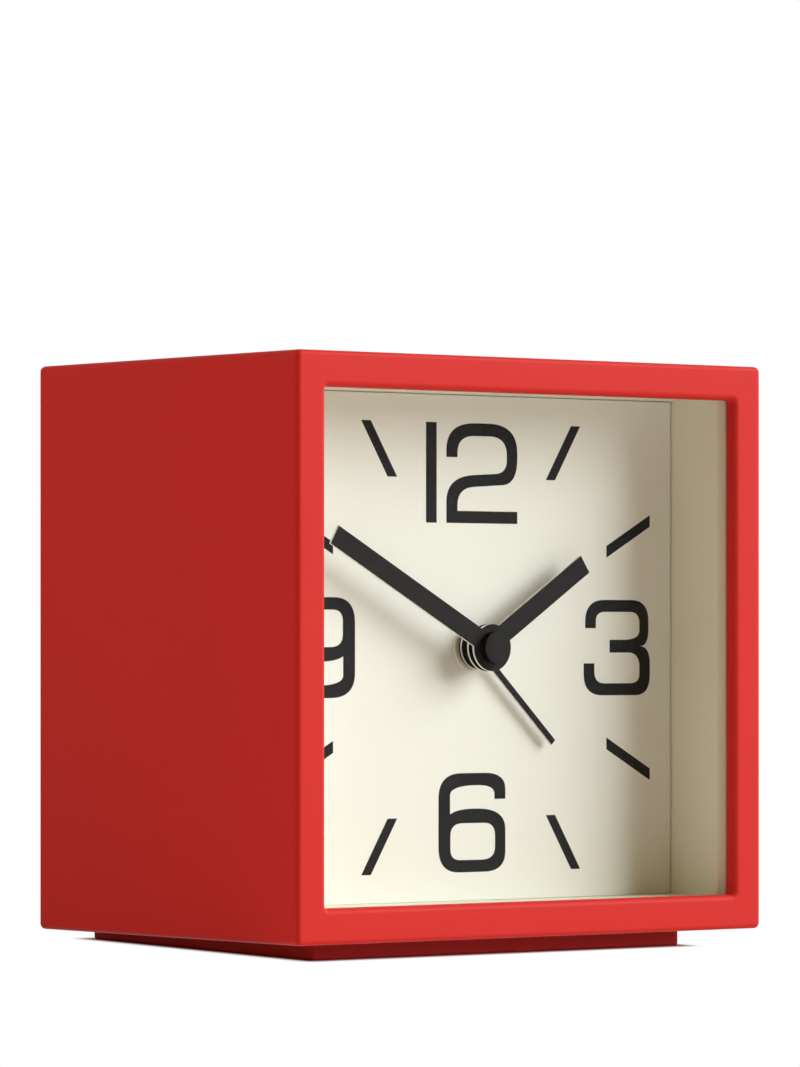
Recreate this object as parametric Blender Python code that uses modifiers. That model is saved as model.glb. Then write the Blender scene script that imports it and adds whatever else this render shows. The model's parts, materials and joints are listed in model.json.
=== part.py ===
"""Square-cased alarm clock with a battery movement, built as the pieces it is assembled from.

Lengths are metres. Everything hangs on one empty, the clock frame: x runs to the viewer's right,
y up the dial and z towards the viewer, from the centre of the case's front face. A depth is a
distance behind that face. The wedge foot leans the clock frame back, and its underside is the floor.
"""
import math

import bmesh
import bpy
from mathutils import Euler, Matrix, Vector

MM = 0.001

# Clearances
FIT_GAP = 0.3 * MM
RUN_GAP = 0.15 * MM
LAYER_GAP = 0.5 * MM
TRAIN_GAP = 0.7 * MM
CUT_OVERRUN = 1.0 * MM
WELD_DISTANCE = 0.001 * MM

# Case
CASE_WIDTH = 80.0 * MM
CASE_HEIGHT = 77.6 * MM
CASE_WALL = 2.0 * MM
CASE_EDGE_RADIUS = 0.75 * MM
FRONT_WALL = 1.75 * MM
FRAME_MARGIN = 4.75 * MM
LIP_RADIUS = 0.75 * MM
WINDOW_CORNER_RADIUS = 0.25 * MM
REAR_RIM = 1.2 * MM
REAR_RECESS = 2.7 * MM

# Foot
FOOT_WIDTH = 63.7 * MM
FOOT_FRONT_INSET = 7.75 * MM
FOOT_REAR_INSET = 1.3 * MM
FOOT_FRONT_HEIGHT = 2.45 * MM
FOOT_REAR_HEIGHT = 1.55 * MM
FOOT_CORNER_RADIUS = 0.8 * MM
FOOT_PEG_RADIUS = 1.5 * MM
FOOT_PEG_HEIGHT = 1.4 * MM
FOOT_PEG_INSET = 6.0 * MM

# Lens and dial box
LENS_THICKNESS = 0.8 * MM
LENS_SEAT = 1.25 * MM
SEAT_FLARE = 0.65 * MM
SEAT_FLARE_DEPTH = 0.9 * MM
DIAL_SETBACK = 0.3 * MM
DIAL_BOX_WALL = 1.9 * MM
DIAL_DEPTH = 14.3 * MM
DIAL_PLATE = 1.5 * MM
PILLAR_RADIUS = 2.8 * MM
PILLAR_INSET = 5.5 * MM
LOCATING_PEG_RADIUS = 1.2 * MM
LOCATING_PEG_PLACE = 20.0 * MM

# Hands, measured in front of the dial
MINUTE_HAND_LENGTH = 30.7 * MM
HOUR_HAND_LENGTH = 20.7 * MM
ALARM_HAND_LENGTH = 18.5 * MM
HAND_WIDTH = 2.55 * MM
ALARM_HAND_WIDTH = 0.9 * MM
HAND_THICKNESS = 0.35 * MM
HAND_EYE_RADIUS = 3.2 * MM
ALARM_EYE_RADIUS = 2.9 * MM
ALARM_HAND_HEIGHT = 1.4 * MM
HOUR_HAND_HEIGHT = 3.3 * MM
MINUTE_HAND_HEIGHT = 4.45 * MM
COLLET_WALL = 0.45 * MM
COLLET_LENGTH = 0.45 * MM
CAP_RADIUS = 2.2 * MM
CAP_HEIGHT = 1.15 * MM
CAP_EDGE_RADIUS = 0.35 * MM
MINUTE_ANGLE = math.radians(299.0)
HOUR_ANGLE = math.radians(56.0)
ALARM_ANGLE = math.radians(134.5)

# Arbor, nested tubes, bush and nut
ARBOR_RADIUS = 0.7 * MM
TUBE_WALL = 0.35 * MM
BUSH_WALL = 0.4 * MM
NUT_RADIUS = 3.15 * MM
NUT_THICKNESS = 0.4 * MM

# Motion work and setting shafts
MOTION_MODULE = 0.625 * MM
CANNON_TEETH = 8
MINUTE_WHEEL_TEETH = 24
MINUTE_PINION_TEETH = 8
HOUR_WHEEL_TEETH = 32
ALARM_WHEEL_TEETH = 32
SETTING_PINION_TEETH = 8
WHEEL_THICKNESS = 1.3 * MM
STEM_RADIUS = 1.5 * MM
STUD_RADIUS = 0.8 * MM
PIVOT_RADIUS = 0.5 * MM
PIVOT_DEPTH = 0.9 * MM

# Going train
TRAIN_MODULE = 0.4 * MM
ROTOR_MODULE = 0.32 * MM
CENTRE_TEETH = 48
THIRD_TEETH = 45
FOURTH_TEETH = 30
INTERMEDIATE_TEETH = 36
LEAVES = 6
TRAIN_THICKNESS = 1.0 * MM
CLUTCH_RADIUS = 2.0 * MM
THIRD_ANGLE = math.radians(90.0)
INTERMEDIATE_ANGLE = math.radians(-90.0)
ROTOR_ANGLE = math.radians(-135.0)

# Tooth form, in modules and in shares of the tooth pitch
ADDENDUM = 0.85
DEDENDUM = 1.15
TIP_SHARE = 0.10
ROOT_SHARE = 0.26

# Stepping motor and circuit
MAGNET_RADIUS = 2.4 * MM
MAGNET_LENGTH = 2.4 * MM
STATOR_THICKNESS = 1.0 * MM
STATOR_AIR_GAP = 0.4 * MM
STATOR_EYE_WALL = 1.6 * MM
STATOR_ARM = 4.0 * MM
STATOR_LEFT_REACH = 13.7 * MM
STATOR_RIGHT_REACH = 13.7 * MM
STATOR_LEG = 10.2 * MM
COIL_RADIUS = 3.0 * MM
COIL_WINDING_RADIUS = 2.6 * MM
COIL_FLANGE = 0.8 * MM
COIL_DROP = 8.3 * MM
BOARD_FILL = 3.0 * MM
BOARD_HEIGHT = 15.0 * MM
BOARD_THICKNESS = 1.0 * MM
BOARD_TOP = -4.5 * MM
CHIP_RADIUS = 2.6 * MM
CHIP_HEIGHT = 0.9 * MM

# Movement frame
MOVEMENT_WIDTH = 54.0 * MM
MOVEMENT_CORNER_RADIUS = 3.0 * MM
FRONT_PLATE = 1.5 * MM
MIDDLE_PLATE = 1.2 * MM
HOUSING_WALL = 1.5 * MM
BOSS_RADIUS = 2.6 * MM
BOSS_INSET = 3.8 * MM
MOVEMENT_SCREW_RADIUS = 0.8 * MM
MOVEMENT_SCREW_HEAD = 1.7 * MM
MOVEMENT_SCREW_HEAD_HEIGHT = 1.0 * MM
MOVEMENT_SCREW_BITE = 4.5 * MM

# Battery, contacts and bay
BATTERY_DIAMETER = 14.5 * MM
BATTERY_LENGTH = 50.5 * MM
BATTERY_NUB_RADIUS = 2.75 * MM
BATTERY_NUB_LENGTH = 1.2 * MM
BATTERY_HEIGHT = -20.0 * MM
CONTACT_THICKNESS = 0.3 * MM
CONTACT_WIDTH = 9.0 * MM
CONTACT_HEIGHT = -17.0 * MM
POSITIVE_LEG = 22.0 * MM
NEGATIVE_LEG = 14.0 * MM
CONTACT_REACH = 11.5 * MM
SPRING_LENGTH = 5.4 * MM
SPRING_BASE_RADIUS = 5.0 * MM
SPRING_TIP_RADIUS = 2.6 * MM
SPRING_WIRE = 0.7 * MM
SPRING_TURNS = 4
STRIP_SPACE = 1.0 * MM
BAY_FLOOR = 1.2 * MM
BAY_CLEARANCE = 0.5 * MM
BAY_LEDGE = 1.3 * MM
BAY_WALL = 1.3 * MM

# Rear cover and what sits on it
COVER_THICKNESS = 2.0 * MM
COVER_CORNER_RADIUS = 1.0 * MM
DOOR_THICKNESS = 1.8 * MM
TRUNNION_RADIUS = 0.6 * MM
TRUNNION_LENGTH = 1.1 * MM
THUMB_RADIUS = 5.0 * MM
THUMB_DEPTH = 0.8 * MM
REAR_SCREW_RADIUS = 0.85 * MM
REAR_SCREW_HEAD = 2.2 * MM
REAR_SCREW_HEAD_HEIGHT = 1.1 * MM
REAR_SCREW_LENGTH = 9.0 * MM
SCREW_SLOT_WIDTH = 0.5 * MM
SCREW_SLOT_DEPTH = 0.5 * MM
KNOB_RADIUS = 5.8 * MM
KNOB_HEIGHT = 3.2 * MM
KNOB_FLUTES = 20
KNOB_FLUTE_DEPTH = 0.3 * MM
KNOB_EDGE = 0.35 * MM
KNOB_SOCKET = 1.8 * MM
WELL_DEPTH = 1.0 * MM
SOUNDER_RADIUS = 11.0 * MM
SOUNDER_THICKNESS = 3.0 * MM
SOUNDER_PORT = 2.0 * MM
SOUNDER_RING = 1.2 * MM
SOUNDER_RING_DEPTH = 3.0 * MM
SOUNDER_HEIGHT = 22.0 * MM
SLOT_WIDTH = 1.3 * MM
SLOT_PITCH = 3.2 * MM
SLOT_COUNT = 5
LEAD_RADIUS = 0.5 * MM
LEAD_SPACING = 1.5 * MM
LEAD_SWEEP = 6.0 * MM
LEAD_HOLE_RADIUS = 1.8 * MM
SWITCH_ASIDE = 24.0 * MM
SWITCH_HEIGHT = 22.0 * MM
SWITCH_BODY_LENGTH = 12.0 * MM
SWITCH_BODY_WIDTH = 6.6 * MM
SWITCH_BODY_DEPTH = 4.5 * MM
SWITCH_TRAVEL = 4.0 * MM
SWITCH_STEM_LENGTH = 3.2 * MM
SWITCH_STEM_WIDTH = 2.2 * MM
SWITCH_STEM_DEPTH = 1.6 * MM
SWITCH_GRIP_LENGTH = 4.2 * MM
SWITCH_GRIP_WIDTH = 3.4 * MM
SWITCH_GRIP_HEIGHT = 1.7 * MM

# Facets
ROUND_STEPS = 12
SMALL_STEPS = 8
FINE_STEPS = 20
CORNER_STEPS = 3
EDGE_SEGMENTS = 3

# Depths, from the dial backwards
FRONT_PLATE_DEPTH = DIAL_DEPTH + DIAL_PLATE + FIT_GAP
ALARM_WHEEL_DEPTH = FRONT_PLATE_DEPTH + FRONT_PLATE + LAYER_GAP
HOUR_WHEEL_DEPTH = ALARM_WHEEL_DEPTH + WHEEL_THICKNESS + LAYER_GAP
MOTION_DEPTH = HOUR_WHEEL_DEPTH + WHEEL_THICKNESS + LAYER_GAP
MIDDLE_PLATE_DEPTH = MOTION_DEPTH + WHEEL_THICKNESS + LAYER_GAP
CENTRE_DEPTH = MIDDLE_PLATE_DEPTH + MIDDLE_PLATE + LAYER_GAP
THIRD_DEPTH = CENTRE_DEPTH + TRAIN_THICKNESS + TRAIN_GAP
FOURTH_DEPTH = THIRD_DEPTH + TRAIN_THICKNESS + TRAIN_GAP
INTERMEDIATE_DEPTH = FOURTH_DEPTH + TRAIN_THICKNESS + TRAIN_GAP
MAGNET_DEPTH = INTERMEDIATE_DEPTH + TRAIN_THICKNESS + LAYER_GAP
MOTOR_AXIS_DEPTH = MAGNET_DEPTH + MAGNET_LENGTH / 2
HOUSING_WALL_DEPTH = MOTOR_AXIS_DEPTH + COIL_RADIUS + FIT_GAP
MOVEMENT_BACK = HOUSING_WALL_DEPTH + HOUSING_WALL
BAY_FLOOR_DEPTH = MOVEMENT_BACK + STRIP_SPACE
BATTERY_DEPTH = BAY_FLOOR_DEPTH + BAY_FLOOR + FIT_GAP + BATTERY_DIAMETER / 2
DOOR_DEPTH = BATTERY_DEPTH + BATTERY_DIAMETER / 2 + FIT_GAP
COVER_BACK = DOOR_DEPTH + DOOR_THICKNESS
COVER_DEPTH = COVER_BACK - COVER_THICKNESS
CASE_DEPTH = COVER_BACK + REAR_RECESS
LENS_DEPTH = FRONT_WALL + FIT_GAP

# Widths and heights that follow from the case
WINDOW_WIDTH = CASE_WIDTH - 2 * FRAME_MARGIN
WINDOW_HEIGHT = CASE_HEIGHT - 2 * FRAME_MARGIN
CAVITY_WIDTH = CASE_WIDTH - 2 * CASE_WALL
CAVITY_HEIGHT = CASE_HEIGHT - 2 * CASE_WALL
COVER_WIDTH = CASE_WIDTH - 2 * REAR_RIM - 2 * FIT_GAP
COVER_HEIGHT = CASE_HEIGHT - 2 * REAR_RIM - 2 * FIT_GAP
DIAL_WIDTH = WINDOW_WIDTH + 2 * DIAL_SETBACK
DIAL_HEIGHT = WINDOW_HEIGHT + 2 * DIAL_SETBACK
PILLAR_PLACES = [
    (side * (CASE_WIDTH / 2 - PILLAR_INSET), end * (CASE_HEIGHT / 2 - PILLAR_INSET))
    for side in (-1, 1) for end in (-1, 1)
]
BOSS_PLACES = [
    (side * (MOVEMENT_WIDTH / 2 - BOSS_INSET), end * (MOVEMENT_WIDTH / 2 - BOSS_INSET))
    for side in (-1, 1) for end in (-1, 1)
]

# Foot, from the case floor down, and the lean that its wedge gives the clock
FOOT_LENGTH = CASE_DEPTH - FOOT_FRONT_INSET - FOOT_REAR_INSET
LEAN = math.atan2(FOOT_FRONT_HEIGHT - FOOT_REAR_HEIGHT, FOOT_LENGTH)
FOOT_CENTRE_DEPTH = FOOT_FRONT_INSET + FOOT_LENGTH / 2
FOOT_UNDERSIDE = -CASE_HEIGHT / 2 - (FOOT_FRONT_HEIGHT + FOOT_REAR_HEIGHT) / 2

# Nested tubes round the minute arbor
HOUR_TUBE_BORE = ARBOR_RADIUS + RUN_GAP
HOUR_TUBE_RADIUS = HOUR_TUBE_BORE + TUBE_WALL
ALARM_TUBE_BORE = HOUR_TUBE_RADIUS + RUN_GAP
ALARM_TUBE_RADIUS = ALARM_TUBE_BORE + TUBE_WALL
BUSH_BORE = ALARM_TUBE_RADIUS + RUN_GAP
BUSH_RADIUS = BUSH_BORE + BUSH_WALL

# Battery bay
BAY_LENGTH = BATTERY_LENGTH + SPRING_LENGTH + 2 * CONTACT_THICKNESS + 5 * FIT_GAP
BAY_HEIGHT = BATTERY_DIAMETER + 2 * BAY_CLEARANCE
DOOR_SEAT_LENGTH = BAY_LENGTH + 2 * BAY_LEDGE
DOOR_SEAT_HEIGHT = BAY_HEIGHT + 2 * BAY_LEDGE
BAY_BLOCK_LENGTH = DOOR_SEAT_LENGTH + 2 * BAY_WALL
BAY_BLOCK_HEIGHT = DOOR_SEAT_HEIGHT + 2 * BAY_WALL
DOOR_LENGTH = DOOR_SEAT_LENGTH - 2 * FIT_GAP
DOOR_HEIGHT = DOOR_SEAT_HEIGHT - 2 * FIT_GAP
DOOR_AXIS_HEIGHT = BATTERY_HEIGHT - DOOR_HEIGHT / 2 + DOOR_THICKNESS / 2
DOOR_AXIS_DEPTH = DOOR_DEPTH + DOOR_THICKNESS / 2
STRIP_DEPTH = MOVEMENT_BACK + STRIP_SPACE / 2

# Switch slot, with room for the slider's travel
SWITCH_SLOT_LENGTH = SWITCH_STEM_LENGTH + SWITCH_TRAVEL + 2 * FIT_GAP
SWITCH_SLOT_WIDTH = SWITCH_STEM_WIDTH + 2 * FIT_GAP


def polar(distance, angle, start=(0.0, 0.0)):
    """Point at a distance and angle from a start point."""
    return (start[0] + distance * math.cos(angle), start[1] + distance * math.sin(angle))


def gear_distance(module, teeth_a, teeth_b):
    return module * (teeth_a + teeth_b) / 2


def direction(start, end):
    return math.atan2(end[1] - start[1], end[0] - start[0])


# Wheel centres in the plane of the dial
STEM_OFFSET = gear_distance(MOTION_MODULE, ALARM_WHEEL_TEETH, SETTING_PINION_TEETH)
ALARM_STEM_PLACE = (STEM_OFFSET, 0.0)
TIME_STEM_PLACE = (-STEM_OFFSET, 0.0)
MINUTE_WHEEL_ARM = gear_distance(MOTION_MODULE, CANNON_TEETH, MINUTE_WHEEL_TEETH)
SETTING_ARM = gear_distance(MOTION_MODULE, MINUTE_WHEEL_TEETH, SETTING_PINION_TEETH)
ELBOW_SQUARES = MINUTE_WHEEL_ARM ** 2 + STEM_OFFSET ** 2 - SETTING_ARM ** 2
ELBOW_ANGLE = math.acos(ELBOW_SQUARES / (2 * MINUTE_WHEEL_ARM * STEM_OFFSET))
MINUTE_WHEEL_PLACE = polar(MINUTE_WHEEL_ARM, math.pi - ELBOW_ANGLE)
HOUR_MODULE = 2 * MINUTE_WHEEL_ARM / (MINUTE_PINION_TEETH + HOUR_WHEEL_TEETH)
THIRD_ARM = gear_distance(TRAIN_MODULE, LEAVES, THIRD_TEETH)
CENTRE_MODULE = 2 * THIRD_ARM / (LEAVES + CENTRE_TEETH)
THIRD_PLACE = polar(THIRD_ARM, THIRD_ANGLE)
INTERMEDIATE_ARM = gear_distance(TRAIN_MODULE, LEAVES, FOURTH_TEETH)
INTERMEDIATE_PLACE = polar(INTERMEDIATE_ARM, INTERMEDIATE_ANGLE)
ROTOR_ARM = gear_distance(ROTOR_MODULE, LEAVES, INTERMEDIATE_TEETH)
ROTOR_PLACE = polar(ROTOR_ARM, ROTOR_ANGLE, INTERMEDIATE_PLACE)
COIL_HEIGHT = ROTOR_PLACE[1] - COIL_DROP
COIL_MIDDLE = ROTOR_PLACE[0] + (STATOR_RIGHT_REACH - STATOR_LEFT_REACH) / 2
COIL_LENGTH = STATOR_LEFT_REACH + STATOR_RIGHT_REACH - 2 * STATOR_ARM - 2 * FIT_GAP
BOARD_LEFT = ROTOR_PLACE[0] + STATOR_RIGHT_REACH + 2 * FIT_GAP
# The board takes the cavity beside the stator, and fills some of the room that the off-centre rotor leaves
BOARD_WIDTH = MOVEMENT_WIDTH / 2 - HOUSING_WALL - STATOR_RIGHT_REACH + BOARD_FILL
LEAD_HOLE_PLACE = (BOARD_LEFT + BOARD_WIDTH / 2, BOARD_TOP - LEAD_HOLE_RADIUS)

for leftover in list(bpy.data.objects):
    bpy.data.objects.remove(leftover)

PARTS = bpy.data.collections.new("square_alarm_clock")
CUTTERS = bpy.data.collections.new("cutters")
for collection in (PARTS, CUTTERS):
    bpy.context.scene.collection.children.link(collection)

CLOCK = bpy.data.objects.new("clock_frame", None)
CLOCK.rotation_euler = (math.pi / 2 - LEAN, 0.0, 0.0)
FOOT_CENTRE = Vector((0.0, FOOT_UNDERSIDE, -FOOT_CENTRE_DEPTH))
CLOCK.location = -(Euler(CLOCK.rotation_euler).to_matrix() @ FOOT_CENTRE)
PARTS.objects.link(CLOCK)


def material(name, colour, roughness, metallic=0.0, transmission=0.0):
    surface = bpy.data.materials.new(name)
    surface.use_nodes = True
    shader = surface.node_tree.nodes["Principled BSDF"]
    shader.inputs["Base Color"].default_value = (*colour, 1.0)
    shader.inputs["Roughness"].default_value = roughness
    shader.inputs["Metallic"].default_value = metallic
    shader.inputs["Transmission Weight"].default_value = transmission
    return surface


RED = material("red_case_plastic", (0.62, 0.035, 0.03), 0.45)
FOOT_RED = material("red_foot_rubber", (0.45, 0.025, 0.022), 0.7)
CREAM = material("cream_dial_plastic", (0.83, 0.79, 0.68), 0.5)
CLEAR = material("clear_acrylic", (1.0, 1.0, 1.0), 0.03, transmission=1.0)
BLACK = material("black_hand_paint", (0.02, 0.02, 0.02), 0.45)
BLACK_PLASTIC = material("black_plastic", (0.025, 0.025, 0.025), 0.5)
WHITE_PLASTIC = material("white_wheel_plastic", (0.75, 0.74, 0.7), 0.4)
STEEL = material("bright_steel", (0.6, 0.6, 0.6), 0.3, 1.0)
BRASS = material("brass", (0.7, 0.5, 0.2), 0.3, 1.0)
COPPER = material("enamelled_copper", (0.55, 0.2, 0.07), 0.35, 1.0)
BOARD_GREEN = material("green_board", (0.03, 0.16, 0.06), 0.5)
CELL_JACKET = material("battery_jacket", (0.1, 0.1, 0.11), 0.35, 0.3)


def circle(radius, steps=ROUND_STEPS, centre=(0.0, 0.0)):
    return [polar(radius, 2 * math.pi * step / steps, centre) for step in range(steps)]


def arc(centre, radius, start, end, steps):
    return [polar(radius, start + (end - start) * step / steps, centre) for step in range(steps + 1)]


def rectangle(width, height, radius=0.0, centre=(0.0, 0.0)):
    """Rectangle outline, with round corners where a radius is given."""
    points = []
    for quarter, (side, end) in enumerate(((1, 1), (-1, 1), (-1, -1), (1, -1))):
        corner = (centre[0] + side * (width / 2 - radius), centre[1] + end * (height / 2 - radius))
        if radius > 0:
            turn = quarter * math.pi / 2
            points += arc(corner, radius, turn, turn + math.pi / 2, CORNER_STEPS)
        else:
            points.append(corner)
    return points


def gear_outline(teeth, module, phase=0.0):
    """Straight-flanked teeth, the first one centred on the phase angle."""
    pitch = 2 * math.pi / teeth
    root = module * (teeth / 2 - DEDENDUM)
    tip = module * (teeth / 2 + ADDENDUM)
    flank = ((root, -ROOT_SHARE), (tip, -TIP_SHARE), (tip, TIP_SHARE), (root, ROOT_SHARE))
    return [
        polar(radius, phase + (tooth + share) * pitch)
        for tooth in range(teeth) for radius, share in flank
    ]


def mesh_phase(line, phase, teeth, other_teeth):
    """Phase of the other gear when a gear at this phase drives it along a line of centres."""
    return line + math.pi - (phase - line) * teeth / other_teeth - math.pi / other_teeth


def hand_outline(length, width, eye_radius):
    """Square-ended blade pointing up from a round eye."""
    shoulder = math.asin(width / 2 / eye_radius)
    eye = arc((0.0, 0.0), eye_radius, math.pi / 2 + shoulder, 2.5 * math.pi - shoulder, FINE_STEPS)
    return [(width / 2, length), (-width / 2, length)] + eye


def fluted_outline(radius, flutes, depth):
    """Round outline with a shallow wave of flutes."""
    steps = 2 * flutes
    return [
        polar(radius - depth * (1 - math.cos(flutes * turn)) / 2, turn)
        for turn in (2 * math.pi * step / steps for step in range(steps))
    ]


def strip_outline(path, thickness):
    """Outline of a strip of sheet metal bent at right angles along a path."""
    sides = ([], [])
    for index, point in enumerate(path):
        normals = []
        for start, end in zip(path[max(index - 1, 0):index + 1], path[index:index + 2] or path[index - 1:]):
            run = Vector((end[0] - start[0], end[1] - start[1])).normalized()
            if run.length > 0:
                normals.append(Vector((-run.y, run.x)))
        if len(normals) == 2 and abs(normals[0].dot(normals[1])) > 0.99:
            normals.pop()
        offset = sum(normals, Vector((0.0, 0.0))) * thickness / 2
        for side, sign in zip(sides, (1, -1)):
            side.append((point[0] + sign * offset.x, point[1] + sign * offset.y))
    return sides[0] + sides[1][::-1]


def evaluated_mesh(holder):
    """Mesh of an object as its curve and modifiers make it, with loose seams welded."""
    graph = bpy.context.evaluated_depsgraph_get()
    mesh = bpy.data.meshes.new_from_object(holder.evaluated_get(graph))
    welded = bmesh.new()
    welded.from_mesh(mesh)
    bmesh.ops.remove_doubles(welded, verts=welded.verts, dist=WELD_DISTANCE)
    welded.to_mesh(mesh)
    welded.free()
    return mesh


def mesh_of(data):
    """Mesh made from curve data or from a mesh holder with modifiers, which is then removed."""
    holder = data
    if not isinstance(data, bpy.types.Object):
        holder = bpy.data.objects.new("shape", data)
    if not holder.users_collection:
        CUTTERS.objects.link(holder)
    mesh = evaluated_mesh(holder)
    bpy.data.objects.remove(holder)
    return mesh


def plate(outlines, thickness):
    """Flat plate behind the local origin plane; every outline after the first is a hole."""
    curve = bpy.data.curves.new("outline", "CURVE")
    curve.dimensions = "2D"
    curve.fill_mode = "BOTH"
    curve.extrude = thickness / 2
    for points in outlines:
        spline = curve.splines.new("POLY")
        spline.points.add(len(points) - 1)
        for vertex, point in zip(spline.points, points):
            vertex.co = (point[0], point[1], 0.0, 1.0)
        spline.use_cyclic_u = True
    mesh = mesh_of(curve)
    mesh.transform(shift((0.0, 0.0, -thickness / 2)))
    return mesh


def shift(offset):
    return Matrix.Translation(offset)


def turn_about(axis, quarters):
    return Matrix.Rotation(quarters * math.pi / 2, 4, axis)


def turned(profile, steps=ROUND_STEPS):
    """Solid of revolution about z; the profile runs down its outer side from front to back."""
    mesh = bpy.data.meshes.new("profile")
    edges = [(index, index + 1) for index in range(len(profile) - 1)]
    if profile[0][0] > 0:
        edges.append((len(profile) - 1, 0))
    mesh.from_pydata([(radius, 0.0, height) for radius, height in profile], edges, [])
    holder = bpy.data.objects.new("profile", mesh)
    screw = holder.modifiers.new("turn", "SCREW")
    screw.axis = "Z"
    screw.steps = steps
    screw.render_steps = steps
    screw.use_merge_vertices = True
    screw.merge_threshold = WELD_DISTANCE
    return mesh_of(holder)


def box(width, height, thickness, centre=(0.0, 0.0), taper=0.0):
    """Box behind the local origin plane, drawn in by a taper on each side of its back."""
    solid = bmesh.new()
    bmesh.ops.create_cube(solid, size=1.0)
    bmesh.ops.scale(solid, vec=(width, height, thickness), verts=solid.verts)
    for vertex in solid.verts:
        if vertex.co.z < 0:
            vertex.co.x -= math.copysign(taper, vertex.co.x)
            vertex.co.y -= math.copysign(taper, vertex.co.y)
    bmesh.ops.translate(solid, vec=(centre[0], centre[1], -thickness / 2), verts=solid.verts)
    mesh = bpy.data.meshes.new("box")
    solid.to_mesh(mesh)
    solid.free()
    return mesh


def pin(radius, length, steps=ROUND_STEPS):
    """Round pin behind the local origin plane."""
    solid = bmesh.new()
    bmesh.ops.create_cone(
        solid, cap_ends=True, segments=steps, radius1=radius, radius2=radius, depth=length)
    bmesh.ops.translate(solid, vec=(0.0, 0.0, -length / 2), verts=solid.verts)
    mesh = bpy.data.meshes.new("pin")
    solid.to_mesh(mesh)
    solid.free()
    return mesh


def copies(mesh, places, depth=0.0):
    """One mesh repeated at several places of the dial plane."""
    group = bmesh.new()
    for place in places:
        copy = mesh.copy()
        copy.transform(shift((place[0], place[1], -depth)))
        group.from_mesh(copy)
    result = bpy.data.meshes.new("copies")
    group.to_mesh(result)
    group.free()
    return result


def part(name, mesh, surface, place=(0.0, 0.0), depth=0.0, turn=0.0):
    """A named piece, with its local origin at a place on the dial plane and a depth."""
    piece = bpy.data.objects.new(name, mesh)
    mesh.materials.clear()
    mesh.materials.append(surface)
    mesh.shade_smooth()
    mesh.set_sharp_from_angle(angle=math.radians(35.0))
    piece.parent = CLOCK
    piece.location = (place[0], place[1], -depth)
    piece.rotation_euler = (0.0, 0.0, turn)
    PARTS.objects.link(piece)
    return piece


def apply_tool(piece, mesh, operation, place, depth, rotation):
    tool = bpy.data.objects.new(f"{piece.name}_tool_{len(piece.modifiers) + 1}", mesh)
    tool.parent = piece
    tool.location = (place[0], place[1], -depth)
    tool.rotation_euler = rotation
    tool.hide_render = True
    tool.display_type = "WIRE"
    CUTTERS.objects.link(tool)
    boolean = piece.modifiers.new(operation.lower(), "BOOLEAN")
    boolean.operation = operation
    boolean.solver = "EXACT"
    boolean.object = tool
    return tool


def cut(piece, mesh, place=(0.0, 0.0), depth=0.0, rotation=(0.0, 0.0, 0.0)):
    return apply_tool(piece, mesh, "DIFFERENCE", place, depth, rotation)


def join(piece, mesh, place=(0.0, 0.0), depth=0.0, rotation=(0.0, 0.0, 0.0)):
    return apply_tool(piece, mesh, "UNION", place, depth, rotation)


def hole(piece, radius, places, depth, length, steps=ROUND_STEPS):
    """Round holes of one size cut backwards from a depth."""
    return cut(piece, copies(pin(radius, length, steps), places), depth=depth)


def build_case_shell():
    shell = part("case_shell", box(CASE_WIDTH, CASE_HEIGHT, CASE_DEPTH), RED)
    cut(shell, box(CAVITY_WIDTH, CAVITY_HEIGHT, CASE_DEPTH), depth=FRONT_WALL)
    seat = (COVER_WIDTH + 2 * FIT_GAP, COVER_HEIGHT + 2 * FIT_GAP)
    cut(shell, box(*seat, CASE_DEPTH), depth=COVER_DEPTH - FIT_GAP)
    window = box(WINDOW_WIDTH, WINDOW_HEIGHT, FRONT_WALL + 2 * CUT_OVERRUN)
    cut(shell, window, depth=-CUT_OVERRUN)
    bpy.context.view_layer.update()
    plain = evaluated_mesh(shell)
    shell.modifiers.clear()
    shell.data = plain
    weigh_edges(plain)
    rounding = shell.modifiers.new("rounded_edges", "BEVEL")
    rounding.limit_method = "WEIGHT"
    rounding.width = CASE_EDGE_RADIUS
    rounding.segments = EDGE_SEGMENTS
    floor_holes = foot_peg_places()
    peg_hole = pin(FOOT_PEG_RADIUS + FIT_GAP, CASE_WALL + 2 * CUT_OVERRUN)
    for place in floor_holes:
        cut(shell, peg_hole, (place[0], -CASE_HEIGHT / 2 - CUT_OVERRUN), place[1], (math.pi / 2, 0.0, 0.0))


def weigh_edges(mesh):
    """Bevel weights: the case's outer edges, the window's lip and the window's corners."""
    shape = bmesh.new()
    shape.from_mesh(mesh)
    weight = shape.edges.layers.float.new("bevel_weight_edge")
    for edge in shape.edges:
        outer = [is_on_box(vertex.co, CASE_WIDTH, CASE_HEIGHT) for vertex in edge.verts]
        lip = [is_on_box(vertex.co, WINDOW_WIDTH, WINDOW_HEIGHT) for vertex in edge.verts]
        front = [abs(vertex.co.z) < WELD_DISTANCE for vertex in edge.verts]
        if edge.calc_face_angle(0.0) < 0.1:
            continue
        if all(outer):
            edge[weight] = 1.0
        elif all(lip) and all(front):
            edge[weight] = LIP_RADIUS / CASE_EDGE_RADIUS
        elif all(lip) and any(front):
            edge[weight] = WINDOW_CORNER_RADIUS / CASE_EDGE_RADIUS
    shape.to_mesh(mesh)
    shape.free()


def is_on_box(point, width, height):
    """Whether a point lies on the four side planes of a box of this section."""
    beside = abs(abs(point.x) - width / 2) < WELD_DISTANCE and abs(point.y) < height / 2 + WELD_DISTANCE
    above = abs(abs(point.y) - height / 2) < WELD_DISTANCE and abs(point.x) < width / 2 + WELD_DISTANCE
    return beside or above


def foot_peg_places():
    """Sideways place and depth of each foot peg."""
    reach = FOOT_WIDTH / 2 - FOOT_PEG_INSET
    run = FOOT_LENGTH / 2 - FOOT_PEG_INSET
    return [(side * reach, FOOT_CENTRE_DEPTH + end * run) for side in (-1, 1) for end in (-1, 1)]


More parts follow.
